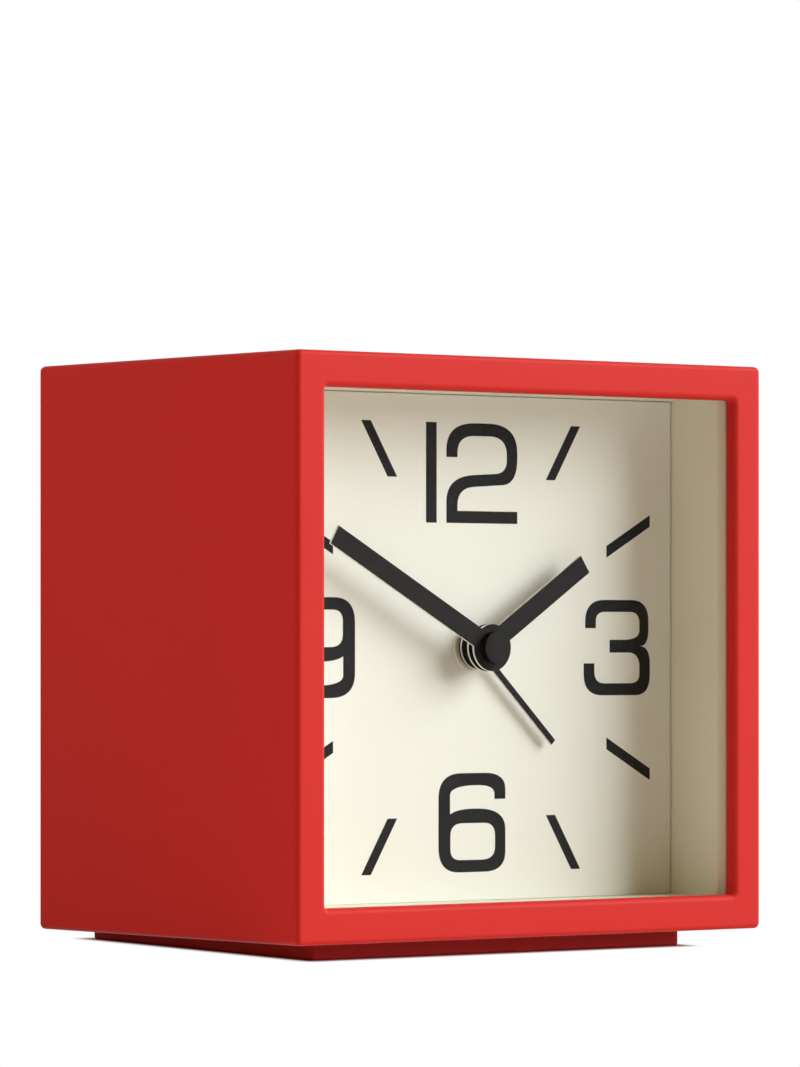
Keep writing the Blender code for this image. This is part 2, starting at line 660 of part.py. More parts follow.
def build_foot():
    outline = rectangle(FOOT_WIDTH, FOOT_LENGTH, FOOT_CORNER_RADIUS)
    slab = plate([outline], FOOT_FRONT_HEIGHT + CUT_OVERRUN)
    slab.transform(turn_about("X", -1))
    foot = part("foot", slab, FOOT_RED, (0.0, -CASE_HEIGHT / 2 - FIT_GAP), FOOT_CENTRE_DEPTH)
    peg = pin(FOOT_PEG_RADIUS, FOOT_PEG_HEIGHT + 2 * FIT_GAP)
    for side, depth in foot_peg_places():
        place = (side, FOOT_PEG_HEIGHT + FIT_GAP)
        join(foot, peg, place, depth - FOOT_CENTRE_DEPTH, (-math.pi / 2, 0.0, 0.0))
    floor = cut(foot, box(CASE_WIDTH, CASE_DEPTH, CASE_HEIGHT))
    floor.parent = None


def build_lens():
    width = DIAL_WIDTH + 2 * LENS_SEAT - 2 * FIT_GAP
    height = DIAL_HEIGHT + 2 * LENS_SEAT - 2 * FIT_GAP
    part("lens", plate([rectangle(width, height)], LENS_THICKNESS), CLEAR, depth=LENS_DEPTH)


def build_dial_box():
    """Dial, side walls, lens seat, rear flange, screw pillars and locating pegs in one moulding."""
    outer = (DIAL_WIDTH + 2 * DIAL_BOX_WALL, DIAL_HEIGHT + 2 * DIAL_BOX_WALL)
    back = DIAL_DEPTH + DIAL_PLATE
    dial = part("dial_box", box(*outer, back - LENS_DEPTH), CREAM, depth=LENS_DEPTH)
    flange = box(CAVITY_WIDTH - 2 * FIT_GAP, CAVITY_HEIGHT - 2 * FIT_GAP, DIAL_PLATE)
    join(dial, flange, depth=DIAL_DEPTH - LENS_DEPTH)
    sunk = DIAL_PLATE / 2
    pillar_length = COVER_DEPTH - FIT_GAP - back + sunk
    pillar = plate([circle(PILLAR_RADIUS), circle(REAR_SCREW_RADIUS + RUN_GAP)], pillar_length)
    join(dial, copies(pillar, PILLAR_PLACES), depth=back - sunk - LENS_DEPTH)
    peg = pin(LOCATING_PEG_RADIUS, FRONT_PLATE + sunk)
    join(dial, copies(peg, locating_places()), depth=back - sunk - LENS_DEPTH)
    cut(dial, box(DIAL_WIDTH, DIAL_HEIGHT, DIAL_DEPTH - LENS_DEPTH + CUT_OVERRUN), depth=-CUT_OVERRUN)
    seat = (DIAL_WIDTH + 2 * LENS_SEAT, DIAL_HEIGHT + 2 * LENS_SEAT)
    cut(dial, box(*seat, LENS_THICKNESS + FIT_GAP + CUT_OVERRUN), depth=-CUT_OVERRUN)
    mouth = (DIAL_WIDTH + 2 * SEAT_FLARE, DIAL_HEIGHT + 2 * SEAT_FLARE)
    cut(dial, box(*mouth, SEAT_FLARE_DEPTH, taper=SEAT_FLARE), depth=LENS_THICKNESS + FIT_GAP)
    through = DIAL_PLATE + 2 * CUT_OVERRUN
    hole(dial, BUSH_RADIUS + RUN_GAP, [(0.0, 0.0)], DIAL_DEPTH - LENS_DEPTH - CUT_OVERRUN, through)


def locating_places():
    return [(-LOCATING_PEG_PLACE, LOCATING_PEG_PLACE), (LOCATING_PEG_PLACE, -LOCATING_PEG_PLACE)]


def build_hands():
    """Three stamped hands on their collets, and the cap on the end of the minute arbor."""
    hands = (
        ("minute_hand", MINUTE_HAND_LENGTH, HAND_WIDTH, HAND_EYE_RADIUS,
         MINUTE_HAND_HEIGHT, ARBOR_RADIUS, MINUTE_ANGLE),
        ("hour_hand", HOUR_HAND_LENGTH, HAND_WIDTH, HAND_EYE_RADIUS,
         HOUR_HAND_HEIGHT, HOUR_TUBE_RADIUS, HOUR_ANGLE),
        ("alarm_hand", ALARM_HAND_LENGTH, ALARM_HAND_WIDTH, ALARM_EYE_RADIUS,
         ALARM_HAND_HEIGHT, ALARM_TUBE_RADIUS, ALARM_ANGLE),
    )
    for name, length, width, eye, height, shaft, angle in hands:
        blade = plate([hand_outline(length, width, eye)], HAND_THICKNESS)
        hand = part(name, blade, BLACK, depth=DIAL_DEPTH - height - HAND_THICKNESS, turn=-angle)
        bore = shaft + RUN_GAP
        join(hand, pin(bore + COLLET_WALL, COLLET_LENGTH + HAND_THICKNESS / 2), depth=HAND_THICKNESS / 2)
        through = HAND_THICKNESS + COLLET_LENGTH + 2 * CUT_OVERRUN
        hole(hand, bore, [(0.0, 0.0)], -CUT_OVERRUN, through)
    cap_back = MINUTE_HAND_HEIGHT + HAND_THICKNESS + RUN_GAP
    crown_centre = (CAP_RADIUS - CAP_EDGE_RADIUS, -CAP_EDGE_RADIUS)
    crown = arc(crown_centre, CAP_EDGE_RADIUS, math.pi / 2, 0.0, CORNER_STEPS)
    socket = ARBOR_RADIUS + RUN_GAP
    inside = [(socket, -CAP_HEIGHT), (socket, -CAP_HEIGHT / 2), (0.0, -CAP_HEIGHT / 2)]
    profile = [(0.0, 0.0)] + crown + [(CAP_RADIUS, -CAP_HEIGHT)] + inside
    part("hub_cap", turned(profile, FINE_STEPS), BLACK, depth=DIAL_DEPTH - cap_back - CAP_HEIGHT)


def build_motion_work():
    """Minute arbor with its cannon pinion, minute wheel, and the hour and alarm wheels on their tubes."""
    arbor_front = DIAL_DEPTH - MINUTE_HAND_HEIGHT - HAND_THICKNESS - CAP_HEIGHT / 3
    arbor_back = CENTRE_DEPTH + TRAIN_THICKNESS
    arbor = part("minute_arbor", pin(ARBOR_RADIUS, arbor_back - arbor_front), STEEL, depth=arbor_front)
    line = direction((0.0, 0.0), MINUTE_WHEEL_PLACE)
    cannon = plate([gear_outline(CANNON_TEETH, MOTION_MODULE)], WHEEL_THICKNESS)
    join(arbor, cannon, depth=MOTION_DEPTH - arbor_front)

    wheel_phase = mesh_phase(line, 0.0, CANNON_TEETH, MINUTE_WHEEL_TEETH)
    wheel_mesh = plate([gear_outline(MINUTE_WHEEL_TEETH, MOTION_MODULE, wheel_phase)], WHEEL_THICKNESS)
    wheel = part("minute_wheel", wheel_mesh, WHITE_PLASTIC, MINUTE_WHEEL_PLACE, MOTION_DEPTH)
    leaf_length = WHEEL_THICKNESS + LAYER_GAP
    leaves = plate([gear_outline(MINUTE_PINION_TEETH, HOUR_MODULE)], leaf_length + WHEEL_THICKNESS / 2)
    join(wheel, leaves, depth=-leaf_length)
    bore = STUD_RADIUS + RUN_GAP
    through = leaf_length + WHEEL_THICKNESS + 2 * CUT_OVERRUN
    hole(wheel, bore, [(0.0, 0.0)], -leaf_length - CUT_OVERRUN, through)

    back_line = line + math.pi
    hour_phase = mesh_phase(back_line, 0.0, MINUTE_PINION_TEETH, HOUR_WHEEL_TEETH)
    tube_wheel("hour_wheel", HOUR_WHEEL_TEETH, HOUR_MODULE, hour_phase, HOUR_WHEEL_DEPTH,
               HOUR_TUBE_BORE, HOUR_TUBE_RADIUS, HOUR_HAND_HEIGHT)
    tube_wheel("alarm_wheel", ALARM_WHEEL_TEETH, MOTION_MODULE, 0.0, ALARM_WHEEL_DEPTH,
               ALARM_TUBE_BORE, ALARM_TUBE_RADIUS, ALARM_HAND_HEIGHT)
    alarm_line = direction((0.0, 0.0), ALARM_STEM_PLACE)
    alarm_phase = mesh_phase(alarm_line, 0.0, ALARM_WHEEL_TEETH, SETTING_PINION_TEETH)
    setting_shaft("alarm", ALARM_STEM_PLACE, alarm_phase, ALARM_WHEEL_DEPTH)
    time_line = direction(MINUTE_WHEEL_PLACE, TIME_STEM_PLACE)
    time_phase = mesh_phase(time_line, wheel_phase, MINUTE_WHEEL_TEETH, SETTING_PINION_TEETH)
    setting_shaft("time", TIME_STEM_PLACE, time_phase, MOTION_DEPTH)


def tube_wheel(name, teeth, module, phase, depth, bore, radius, hand_height):
    """Wheel on a tube that reaches forward through the dial to its hand."""
    disc = plate([gear_outline(teeth, module, phase)], WHEEL_THICKNESS)
    wheel = part(name, disc, WHITE_PLASTIC, depth=depth)
    reach = depth - DIAL_DEPTH + hand_height + HAND_THICKNESS
    join(wheel, pin(radius, reach + WHEEL_THICKNESS / 2), depth=-reach)
    hole(wheel, bore, [(0.0, 0.0)], -reach - CUT_OVERRUN, reach + WHEEL_THICKNESS + 2 * CUT_OVERRUN)


def setting_shaft(name, place, phase, pinion_depth):
    """Setting stem from its bearing in the front plate to the knob behind the cover."""
    front = FRONT_PLATE_DEPTH + FRONT_PLATE - PIVOT_DEPTH + RUN_GAP
    knob_depth = COVER_BACK - WELL_DEPTH + FIT_GAP
    back = knob_depth + KNOB_SOCKET - RUN_GAP
    stem = part(f"{name}_stem", pin(STEM_RADIUS, back - front), BRASS, place, front)
    pinion = plate([gear_outline(SETTING_PINION_TEETH, MOTION_MODULE, phase)], WHEEL_THICKNESS)
    join(stem, pinion, depth=pinion_depth - front)
    knob_mesh = plate([fluted_outline(KNOB_RADIUS, KNOB_FLUTES, KNOB_FLUTE_DEPTH)], KNOB_HEIGHT)
    knob = part(f"{name}_knob", knob_mesh, BLACK_PLASTIC, place, knob_depth)
    edge = knob.modifiers.new("soft_edge", "BEVEL")
    edge.limit_method = "ANGLE"
    edge.angle_limit = math.radians(60.0)
    edge.width = KNOB_EDGE
    edge.segments = 1
    hole(knob, STEM_RADIUS + RUN_GAP, [(0.0, 0.0)], -CUT_OVERRUN, KNOB_SOCKET + CUT_OVERRUN)


def build_going_train():
    """Rotor, intermediate, fourth, third and centre wheels, each turning a slower one."""
    rear_pivot = HOUSING_WALL_DEPTH + PIVOT_DEPTH - RUN_GAP
    overhang = TRAIN_GAP / 2

    rotor_front = INTERMEDIATE_DEPTH - overhang
    rotor = part("rotor", pin(PIVOT_RADIUS, rear_pivot - rotor_front), STEEL, ROTOR_PLACE, rotor_front)
    join(rotor, plate([gear_outline(LEAVES, ROTOR_MODULE)], TRAIN_THICKNESS + overhang))
    join(rotor, pin(MAGNET_RADIUS, MAGNET_LENGTH), depth=MAGNET_DEPTH - rotor_front)

    driver_line = direction(ROTOR_PLACE, INTERMEDIATE_PLACE)
    phase = mesh_phase(driver_line, 0.0, LEAVES, INTERMEDIATE_TEETH)
    train_wheel("intermediate_wheel", INTERMEDIATE_TEETH, ROTOR_MODULE, phase, INTERMEDIATE_PLACE,
                INTERMEDIATE_DEPTH, TRAIN_MODULE, FOURTH_DEPTH, FOURTH_DEPTH - overhang, rear_pivot)
    fourth_line = direction(INTERMEDIATE_PLACE, (0.0, 0.0))
    phase = mesh_phase(fourth_line, 0.0, LEAVES, FOURTH_TEETH)
    train_wheel("fourth_wheel", FOURTH_TEETH, TRAIN_MODULE, phase, (0.0, 0.0),
                FOURTH_DEPTH, TRAIN_MODULE, THIRD_DEPTH, CENTRE_DEPTH + TRAIN_THICKNESS + FIT_GAP, rear_pivot)
    third_line = direction((0.0, 0.0), THIRD_PLACE)
    phase = mesh_phase(third_line, 0.0, LEAVES, THIRD_TEETH)
    third_front = MIDDLE_PLATE_DEPTH + RUN_GAP
    train_wheel("third_wheel", THIRD_TEETH, TRAIN_MODULE, phase, THIRD_PLACE,
                THIRD_DEPTH, CENTRE_MODULE, CENTRE_DEPTH, third_front, rear_pivot)

    centre_line = direction(THIRD_PLACE, (0.0, 0.0))
    phase = mesh_phase(centre_line, 0.0, LEAVES, CENTRE_TEETH)
    centre_mesh = plate([gear_outline(CENTRE_TEETH, CENTRE_MODULE, phase)], TRAIN_THICKNESS)
    centre = part("centre_wheel", centre_mesh, WHITE_PLASTIC, depth=CENTRE_DEPTH)
    clutch = LAYER_GAP - RUN_GAP
    join(centre, pin(CLUTCH_RADIUS, clutch + TRAIN_THICKNESS / 2), depth=-clutch)
    through = clutch + TRAIN_THICKNESS + 2 * CUT_OVERRUN
    hole(centre, ARBOR_RADIUS + RUN_GAP, [(0.0, 0.0)], -clutch - CUT_OVERRUN, through)


def train_wheel(name, teeth, module, phase, place, depth, leaf_module, leaf_depth, front, back):
    """Wheel and pinion on one pivoted arbor; the pinion lies in front of the wheel."""
    overhang = TRAIN_GAP / 2
    wheel = part(name, pin(PIVOT_RADIUS, back - front, ROUND_STEPS), WHITE_PLASTIC, place, front)
    leaf_front = leaf_depth - overhang / 2
    leaves = plate([gear_outline(LEAVES, leaf_module)], depth + TRAIN_THICKNESS / 2 - leaf_front)
    join(wheel, leaves, depth=leaf_front - front)
    join(wheel, plate([gear_outline(teeth, module, phase)], TRAIN_THICKNESS), depth=depth - front)


def build_motor():
    """Stator with its rotor eye and two legs, the coil between the legs, and the circuit board."""
    eye = MAGNET_RADIUS + STATOR_AIR_GAP
    half = STATOR_ARM / 2
    shoulder = math.asin(half / (eye + STATOR_EYE_WALL))
    rim = eye + STATOR_EYE_WALL
    left, right, low = -STATOR_LEFT_REACH, STATOR_RIGHT_REACH, -STATOR_LEG
    outline = [(right, low), (right, half)]
    outline += arc((0.0, 0.0), rim, shoulder, math.pi - shoulder, FINE_STEPS // 4)
    outline += [(left, half), (left, low), (left + STATOR_ARM, low), (left + STATOR_ARM, -half)]
    outline += arc((0.0, 0.0), rim, math.pi + shoulder, 2 * math.pi - shoulder, FINE_STEPS // 4)
    outline += [(right - STATOR_ARM, -half), (right - STATOR_ARM, low)]
    stator_mesh = plate([outline, circle(eye)], STATOR_THICKNESS)
    part("stator", stator_mesh, STEEL, ROTOR_PLACE, MOTOR_AXIS_DEPTH - STATOR_THICKNESS / 2)

    half_length = COIL_LENGTH / 2
    inner = half_length - COIL_FLANGE
    profile = [
        (0.0, half_length), (COIL_RADIUS, half_length),
        (COIL_RADIUS, inner), (COIL_WINDING_RADIUS, inner),
        (COIL_WINDING_RADIUS, -inner), (COIL_RADIUS, -inner),
        (COIL_RADIUS, -half_length), (0.0, -half_length),
    ]
    coil_mesh = turned(profile)
    coil_mesh.transform(turn_about("Y", 1))
    part("coil", coil_mesh, COPPER, (COIL_MIDDLE, COIL_HEIGHT), MOTOR_AXIS_DEPTH)

    board_place = (BOARD_LEFT + BOARD_WIDTH / 2, BOARD_TOP - BOARD_HEIGHT / 2)
    board_front = HOUSING_WALL_DEPTH - FIT_GAP - BOARD_THICKNESS
    board_mesh = box(BOARD_WIDTH, BOARD_HEIGHT, BOARD_THICKNESS)
    board = part("circuit_board", board_mesh, BOARD_GREEN, board_place, board_front)
    join(board, pin(CHIP_RADIUS, CHIP_HEIGHT + BOARD_THICKNESS / 2), depth=-CHIP_HEIGHT)


def build_movement_frame():
    """Front plate with its bush and posts, middle plate, and the deep rear housing."""
    outline = rectangle(MOVEMENT_WIDTH, MOVEMENT_WIDTH, MOVEMENT_CORNER_RADIUS)
    stems = [TIME_STEM_PLACE, ALARM_STEM_PLACE]
    pilot = MOVEMENT_SCREW_RADIUS + RUN_GAP

    front_mesh = plate([outline], FRONT_PLATE)
    front = part("movement_front_plate", front_mesh, BLACK_PLASTIC, depth=FRONT_PLATE_DEPTH)
    bush_reach = FRONT_PLATE_DEPTH - DIAL_DEPTH + NUT_THICKNESS
    join(front, pin(BUSH_RADIUS, bush_reach + FRONT_PLATE / 2), depth=-bush_reach)
    post_length = MIDDLE_PLATE_DEPTH - FIT_GAP - FRONT_PLATE_DEPTH - FRONT_PLATE / 2
    post = plate([circle(BOSS_INSET - HOUSING_WALL - FIT_GAP), circle(pilot)], post_length)
    join(front, copies(post, BOSS_PLACES), depth=FRONT_PLATE / 2)
    front_through = FRONT_PLATE + 2 * CUT_OVERRUN
    hole(front, BUSH_BORE, [(0.0, 0.0)], -bush_reach - CUT_OVERRUN, bush_reach + front_through)
    hole(front, LOCATING_PEG_RADIUS + RUN_GAP, locating_places(), -CUT_OVERRUN, front_through)
    hole(front, STEM_RADIUS + RUN_GAP, stems, FRONT_PLATE - PIVOT_DEPTH, PIVOT_DEPTH + CUT_OVERRUN)

    inner = MOVEMENT_WIDTH - 2 * HOUSING_WALL - 2 * FIT_GAP
    middle_outline = rectangle(inner, inner, MOVEMENT_CORNER_RADIUS - HOUSING_WALL)
    middle_mesh = plate([middle_outline], MIDDLE_PLATE)
    middle = part("middle_plate", middle_mesh, WHITE_PLASTIC, depth=MIDDLE_PLATE_DEPTH)
    through = MIDDLE_PLATE + 2 * CUT_OVERRUN
    hole(middle, STEM_RADIUS + RUN_GAP, stems, -CUT_OVERRUN, through)
    hole(middle, pilot, BOSS_PLACES, -CUT_OVERRUN, through, SMALL_STEPS)
    hole(middle, ARBOR_RADIUS + RUN_GAP, [(0.0, 0.0)], -CUT_OVERRUN, through)
    hole(middle, PIVOT_RADIUS + RUN_GAP, [THIRD_PLACE], -CUT_OVERRUN, through, SMALL_STEPS)
    stud_length = MIDDLE_PLATE_DEPTH - MOTION_DEPTH + WHEEL_THICKNESS + MIDDLE_PLATE / 2
    join(middle, pin(STUD_RADIUS, stud_length), MINUTE_WHEEL_PLACE, MIDDLE_PLATE / 2 - stud_length)

    housing_front = FRONT_PLATE_DEPTH + FRONT_PLATE + FIT_GAP
    depth = MOVEMENT_BACK - housing_front
    housing = part("movement_housing", plate([outline], depth), BLACK_PLASTIC, depth=housing_front)
    cavity = MOVEMENT_WIDTH - 2 * HOUSING_WALL
    cavity_outline = rectangle(cavity, cavity, MOVEMENT_CORNER_RADIUS - HOUSING_WALL)
    wall = HOUSING_WALL_DEPTH - housing_front
    cut(housing, plate([cavity_outline], wall + CUT_OVERRUN), depth=-CUT_OVERRUN)
    boss_front = MIDDLE_PLATE_DEPTH + MIDDLE_PLATE + FIT_GAP - housing_front
    boss = plate([circle(BOSS_RADIUS, SMALL_STEPS)], depth - HOUSING_WALL / 2 - boss_front)
    join(housing, copies(boss, BOSS_PLACES), depth=boss_front)
    hole(housing, pilot, BOSS_PLACES, boss_front - CUT_OVERRUN, depth + CUT_OVERRUN, SMALL_STEPS)
    sink = MOVEMENT_SCREW_HEAD_HEIGHT + FIT_GAP
    hole(housing, MOVEMENT_SCREW_HEAD + FIT_GAP, BOSS_PLACES, depth - sink, sink + CUT_OVERRUN, SMALL_STEPS)
    hole(housing, STEM_RADIUS + RUN_GAP, stems, wall - CUT_OVERRUN, HOUSING_WALL + 2 * CUT_OVERRUN)
    pivots = [THIRD_PLACE, (0.0, 0.0), INTERMEDIATE_PLACE, ROTOR_PLACE]
    hole(housing, PIVOT_RADIUS + RUN_GAP, pivots, wall - CUT_OVERRUN, PIVOT_DEPTH + CUT_OVERRUN, SMALL_STEPS)
    hole(housing, LEAD_HOLE_RADIUS, [LEAD_HOLE_PLACE], wall - CUT_OVERRUN, HOUSING_WALL + 2 * CUT_OVERRUN)
    slot = box(CONTACT_THICKNESS + 2 * FIT_GAP, CONTACT_WIDTH + 2 * FIT_GAP, HOUSING_WALL + 2 * CUT_OVERRUN)
    legs = [(POSITIVE_LEG, CONTACT_HEIGHT), (NEGATIVE_LEG, CONTACT_HEIGHT)]
    cut(housing, copies(slot, legs), depth=wall - CUT_OVERRUN)

    nut = plate([circle(NUT_RADIUS, FINE_STEPS), circle(BUSH_RADIUS + RUN_GAP)], NUT_THICKNESS)
    part("bush_nut", nut, CREAM, depth=DIAL_DEPTH - NUT_THICKNESS - RUN_GAP)

    tip = MIDDLE_PLATE_DEPTH - FIT_GAP - MOVEMENT_SCREW_BITE
    head_front = MOVEMENT_BACK - MOVEMENT_SCREW_HEAD_HEIGHT
    for index, place in enumerate(BOSS_PLACES, start=1):
        screw(f"movement_screw_{index}", place, head_front, tip, MOVEMENT_SCREW_RADIUS,
              MOVEMENT_SCREW_HEAD, MOVEMENT_SCREW_HEAD_HEIGHT, 1)


def screw(name, place, head_depth, tip_depth, radius, head_radius, head_height, slots):
    """Pan-head screw driven from behind, with its slots evenly turned about the head."""
    length = head_depth - tip_depth
    point = 2 * radius
    profile = [
        (0.0, length), (radius / 2, length), (radius, length - point), (radius, 0.0), (head_radius, 0.0),
        (head_radius, -head_height * 0.6), (head_radius * 0.8, -head_height), (0.0, -head_height),
    ]
    fastener = part(name, turned(profile, SMALL_STEPS), STEEL, place, head_depth)
    slot = box(head_radius * 1.2, SCREW_SLOT_WIDTH, SCREW_SLOT_DEPTH + CUT_OVERRUN)
    for index in range(slots):
        turn = math.pi * index / slots
        cut(fastener, slot, depth=head_height - SCREW_SLOT_DEPTH, rotation=(0.0, 0.0, turn))


def build_alarm_contact():
    """Leaf spring on the middle plate, reaching to the back of the hour wheel."""
    hour_radius = HOUR_MODULE * HOUR_WHEEL_TEETH / 2
    half = CONTACT_THICKNESS / 2
    root = (MOVEMENT_WIDTH / 2 - HOUSING_WALL - 4 * FIT_GAP, -MIDDLE_PLATE_DEPTH + FIT_GAP + half)
    bend = (hour_radius * 1.8, root[1])
    touch = (hour_radius * 0.6, -HOUR_WHEEL_DEPTH - WHEEL_THICKNESS - FIT_GAP - half)
    outline = [(root[0], root[1] + half), (bend[0], bend[1] + half), (touch[0], touch[1] + half)]
    outline += [(touch[0], touch[1] - half), (bend[0], bend[1] - half), (root[0], root[1] - half)]
    leaf = plate([outline], hour_radius * 0.35)
    leaf.transform(turn_about("X", 1))
    part("alarm_contact", leaf, BRASS, (0.0, -hour_radius * 0.75))


def build_battery():
    """Battery on its side with the nub to the right, its two contact strips and the spring."""
    can = BATTERY_LENGTH - BATTERY_NUB_LENGTH
    radius = BATTERY_DIAMETER / 2
    edge = radius * 0.12
    profile = [(0.0, BATTERY_LENGTH), (BATTERY_NUB_RADIUS, BATTERY_LENGTH), (BATTERY_NUB_RADIUS, can)]
    profile += [(radius - edge, can), (radius, can - edge), (radius, edge), (radius - edge, 0.0), (0.0, 0.0)]
    cell = turned(profile)
    cell.transform(turn_about("Y", 1))
    end = BAY_LENGTH / 2
    plate_middle = end - FIT_GAP - CONTACT_THICKNESS / 2
    nub_tip = plate_middle - CONTACT_THICKNESS / 2 - FIT_GAP
    part("battery", cell, CELL_JACKET, (nub_tip - BATTERY_LENGTH, BATTERY_HEIGHT), BATTERY_DEPTH)
    contact("positive_contact", plate_middle, POSITIVE_LEG)
    contact("negative_contact", -plate_middle, NEGATIVE_LEG)

    wire = SPRING_WIRE / 2
    start = -plate_middle + CONTACT_THICKNESS / 2 + FIT_GAP + wire
    run = SPRING_LENGTH - SPRING_WIRE
    steps = SMALL_STEPS * SPRING_TURNS
    helix = []
    for step in range(steps + 1):
        share = step / steps
        radius = SPRING_BASE_RADIUS + (SPRING_TIP_RADIUS - SPRING_BASE_RADIUS) * share
        height, depth = polar(radius, 2 * math.pi * SPRING_TURNS * share)
        helix.append(Vector((start + run * share, height, depth)))
    gap = min((a - b).length for i, a in enumerate(helix) for b in helix[i + SMALL_STEPS - 2:]) - SPRING_WIRE
    print(f"battery_spring: least gap between turns {gap / MM:.2f} mm")
    part("battery_spring", wire_mesh(helix, wire, 1), STEEL, (0.0, BATTERY_HEIGHT), BATTERY_DEPTH)


def contact(name, end, leg):
    """Bent strip from a battery end, through the bay floor and into the movement's board."""
    side = math.copysign(1.0, end)
    back = -(BATTERY_DEPTH - BATTERY_DIAMETER / 2 + CONTACT_REACH)
    path = [(end, back), (end, -STRIP_DEPTH), (leg, -STRIP_DEPTH), (leg, -HOUSING_WALL_DEPTH)]
    outline = strip_outline(path, CONTACT_THICKNESS * side)
    strip = plate([outline], CONTACT_WIDTH)
    strip.transform(turn_about("X", 1))
    part(name, strip, STEEL, (0.0, CONTACT_HEIGHT - CONTACT_WIDTH / 2))


def wire_mesh(points, radius, resolution):
    """Round wire along points, with closed ends."""
    curve = bpy.data.curves.new("wire", "CURVE")
    curve.dimensions = "3D"
    curve.bevel_depth = radius
    curve.bevel_resolution = resolution
    curve.use_fill_caps = True
    spline = curve.splines.new("POLY")
    spline.points.add(len(points) - 1)
    for vertex, point in zip(spline.points, points):
        vertex.co = (*point, 1.0)
    return mesh_of(curve)


def build_rear_cover():
    """Back panel with the battery bay, knob wells, sound slots, switch slot and screw seats."""
    outline = rectangle(COVER_WIDTH, COVER_HEIGHT, COVER_CORNER_RADIUS)
    cover = part("rear_cover", plate([outline], COVER_THICKNESS), RED, depth=COVER_DEPTH)
    bay = (0.0, BATTERY_HEIGHT)
    bay_rise = COVER_DEPTH - BAY_FLOOR_DEPTH
    join(cover, box(BAY_BLOCK_LENGTH, BAY_BLOCK_HEIGHT, bay_rise + COVER_THICKNESS / 2), bay, -bay_rise)
    ring_bore = SOUNDER_RADIUS + FIT_GAP
    ring = plate([circle(ring_bore + SOUNDER_RING, FINE_STEPS), circle(ring_bore, FINE_STEPS)],
                 SOUNDER_RING_DEPTH + COVER_THICKNESS / 2)
    join(cover, ring, (0.0, SOUNDER_HEIGHT), -SOUNDER_RING_DEPTH)
    room = bay_rise - BAY_FLOOR
    cut(cover, box(BAY_LENGTH, BAY_HEIGHT, room + COVER_THICKNESS + CUT_OVERRUN), bay, -room)
    seat = DOOR_DEPTH - FIT_GAP - COVER_DEPTH
    cut(cover, box(DOOR_SEAT_LENGTH, DOOR_SEAT_HEIGHT, COVER_THICKNESS - seat + CUT_OVERRUN), bay, seat)
    socket = pin(TRUNNION_RADIUS + RUN_GAP, BAY_BLOCK_LENGTH + 2 * CUT_OVERRUN, SMALL_STEPS)
    cut(cover, socket, (-BAY_BLOCK_LENGTH / 2 - CUT_OVERRUN, DOOR_AXIS_HEIGHT), DOOR_AXIS_DEPTH - COVER_DEPTH,
        (0.0, -math.pi / 2, 0.0))
    slot = box(CONTACT_THICKNESS + 2 * FIT_GAP, CONTACT_WIDTH + 2 * FIT_GAP, BAY_FLOOR + 2 * CUT_OVERRUN)
    strip = BAY_LENGTH / 2 - FIT_GAP - CONTACT_THICKNESS / 2
    strips = [(-strip, CONTACT_HEIGHT), (strip, CONTACT_HEIGHT)]
    cut(cover, copies(slot, strips), depth=-bay_rise - CUT_OVERRUN)
    through = COVER_THICKNESS + 2 * CUT_OVERRUN
    stems = [TIME_STEM_PLACE, ALARM_STEM_PLACE]
    hole(cover, STEM_RADIUS + RUN_GAP, stems, -CUT_OVERRUN, through)
    well_floor = COVER_THICKNESS - WELL_DEPTH
    hole(cover, KNOB_RADIUS + LAYER_GAP, stems, well_floor, WELL_DEPTH + CUT_OVERRUN, FINE_STEPS)
    hole(cover, REAR_SCREW_RADIUS + RUN_GAP, PILLAR_PLACES, -CUT_OVERRUN, through, SMALL_STEPS)
    sink = REAR_SCREW_HEAD_HEIGHT
    sink_floor = COVER_THICKNESS - sink
    hole(cover, REAR_SCREW_HEAD + FIT_GAP, PILLAR_PLACES, sink_floor, sink + CUT_OVERRUN, SMALL_STEPS)
    for index in range(SLOT_COUNT):
        rise = (index - (SLOT_COUNT - 1) / 2) * SLOT_PITCH
        length = 2 * math.sqrt((SOUNDER_RADIUS * 0.85) ** 2 - rise ** 2)
        sound_slot = plate([rectangle(length, SLOT_WIDTH, SLOT_WIDTH / 2.1)], through)
        cut(cover, sound_slot, (0.0, SOUNDER_HEIGHT + rise), -CUT_OVERRUN)
    switch_slot = box(SWITCH_SLOT_LENGTH, SWITCH_SLOT_WIDTH, through)
    cut(cover, switch_slot, (SWITCH_ASIDE, SWITCH_HEIGHT), -CUT_OVERRUN)
    for index, place in enumerate(PILLAR_PLACES, start=1):
        head_depth = COVER_BACK - sink + FIT_GAP
        screw(f"rear_screw_{index}", place, head_depth, head_depth - REAR_SCREW_LENGTH, REAR_SCREW_RADIUS,
              REAR_SCREW_HEAD, REAR_SCREW_HEAD_HEIGHT, 2)


def build_battery_door():
    """Flush door that swings down on two trunnions along its lower edge."""
    half = DOOR_THICKNESS / 2
    profile = arc((0.0, 0.0), half, math.pi, 2 * math.pi, 2 * CORNER_STEPS)
    top = DOOR_HEIGHT - half
    profile += [(half, top), (-half, top)]
    panel = plate([profile], DOOR_LENGTH)
    panel.transform(turn_about("Y", -1))
    panel.transform(shift((-DOOR_LENGTH / 2, 0.0, 0.0)))
    door = part("battery_door", panel, RED, (0.0, DOOR_AXIS_HEIGHT), DOOR_AXIS_DEPTH)
    trunnion = pin(TRUNNION_RADIUS, DOOR_LENGTH + 2 * TRUNNION_LENGTH, SMALL_STEPS)
    join(door, trunnion, (-DOOR_LENGTH / 2 - TRUNNION_LENGTH, 0.0), 0.0, (0.0, -math.pi / 2, 0.0))
    scoop = pin(THUMB_RADIUS, DOOR_THICKNESS)
    cut(door, scoop, (0.0, top), half - THUMB_DEPTH)


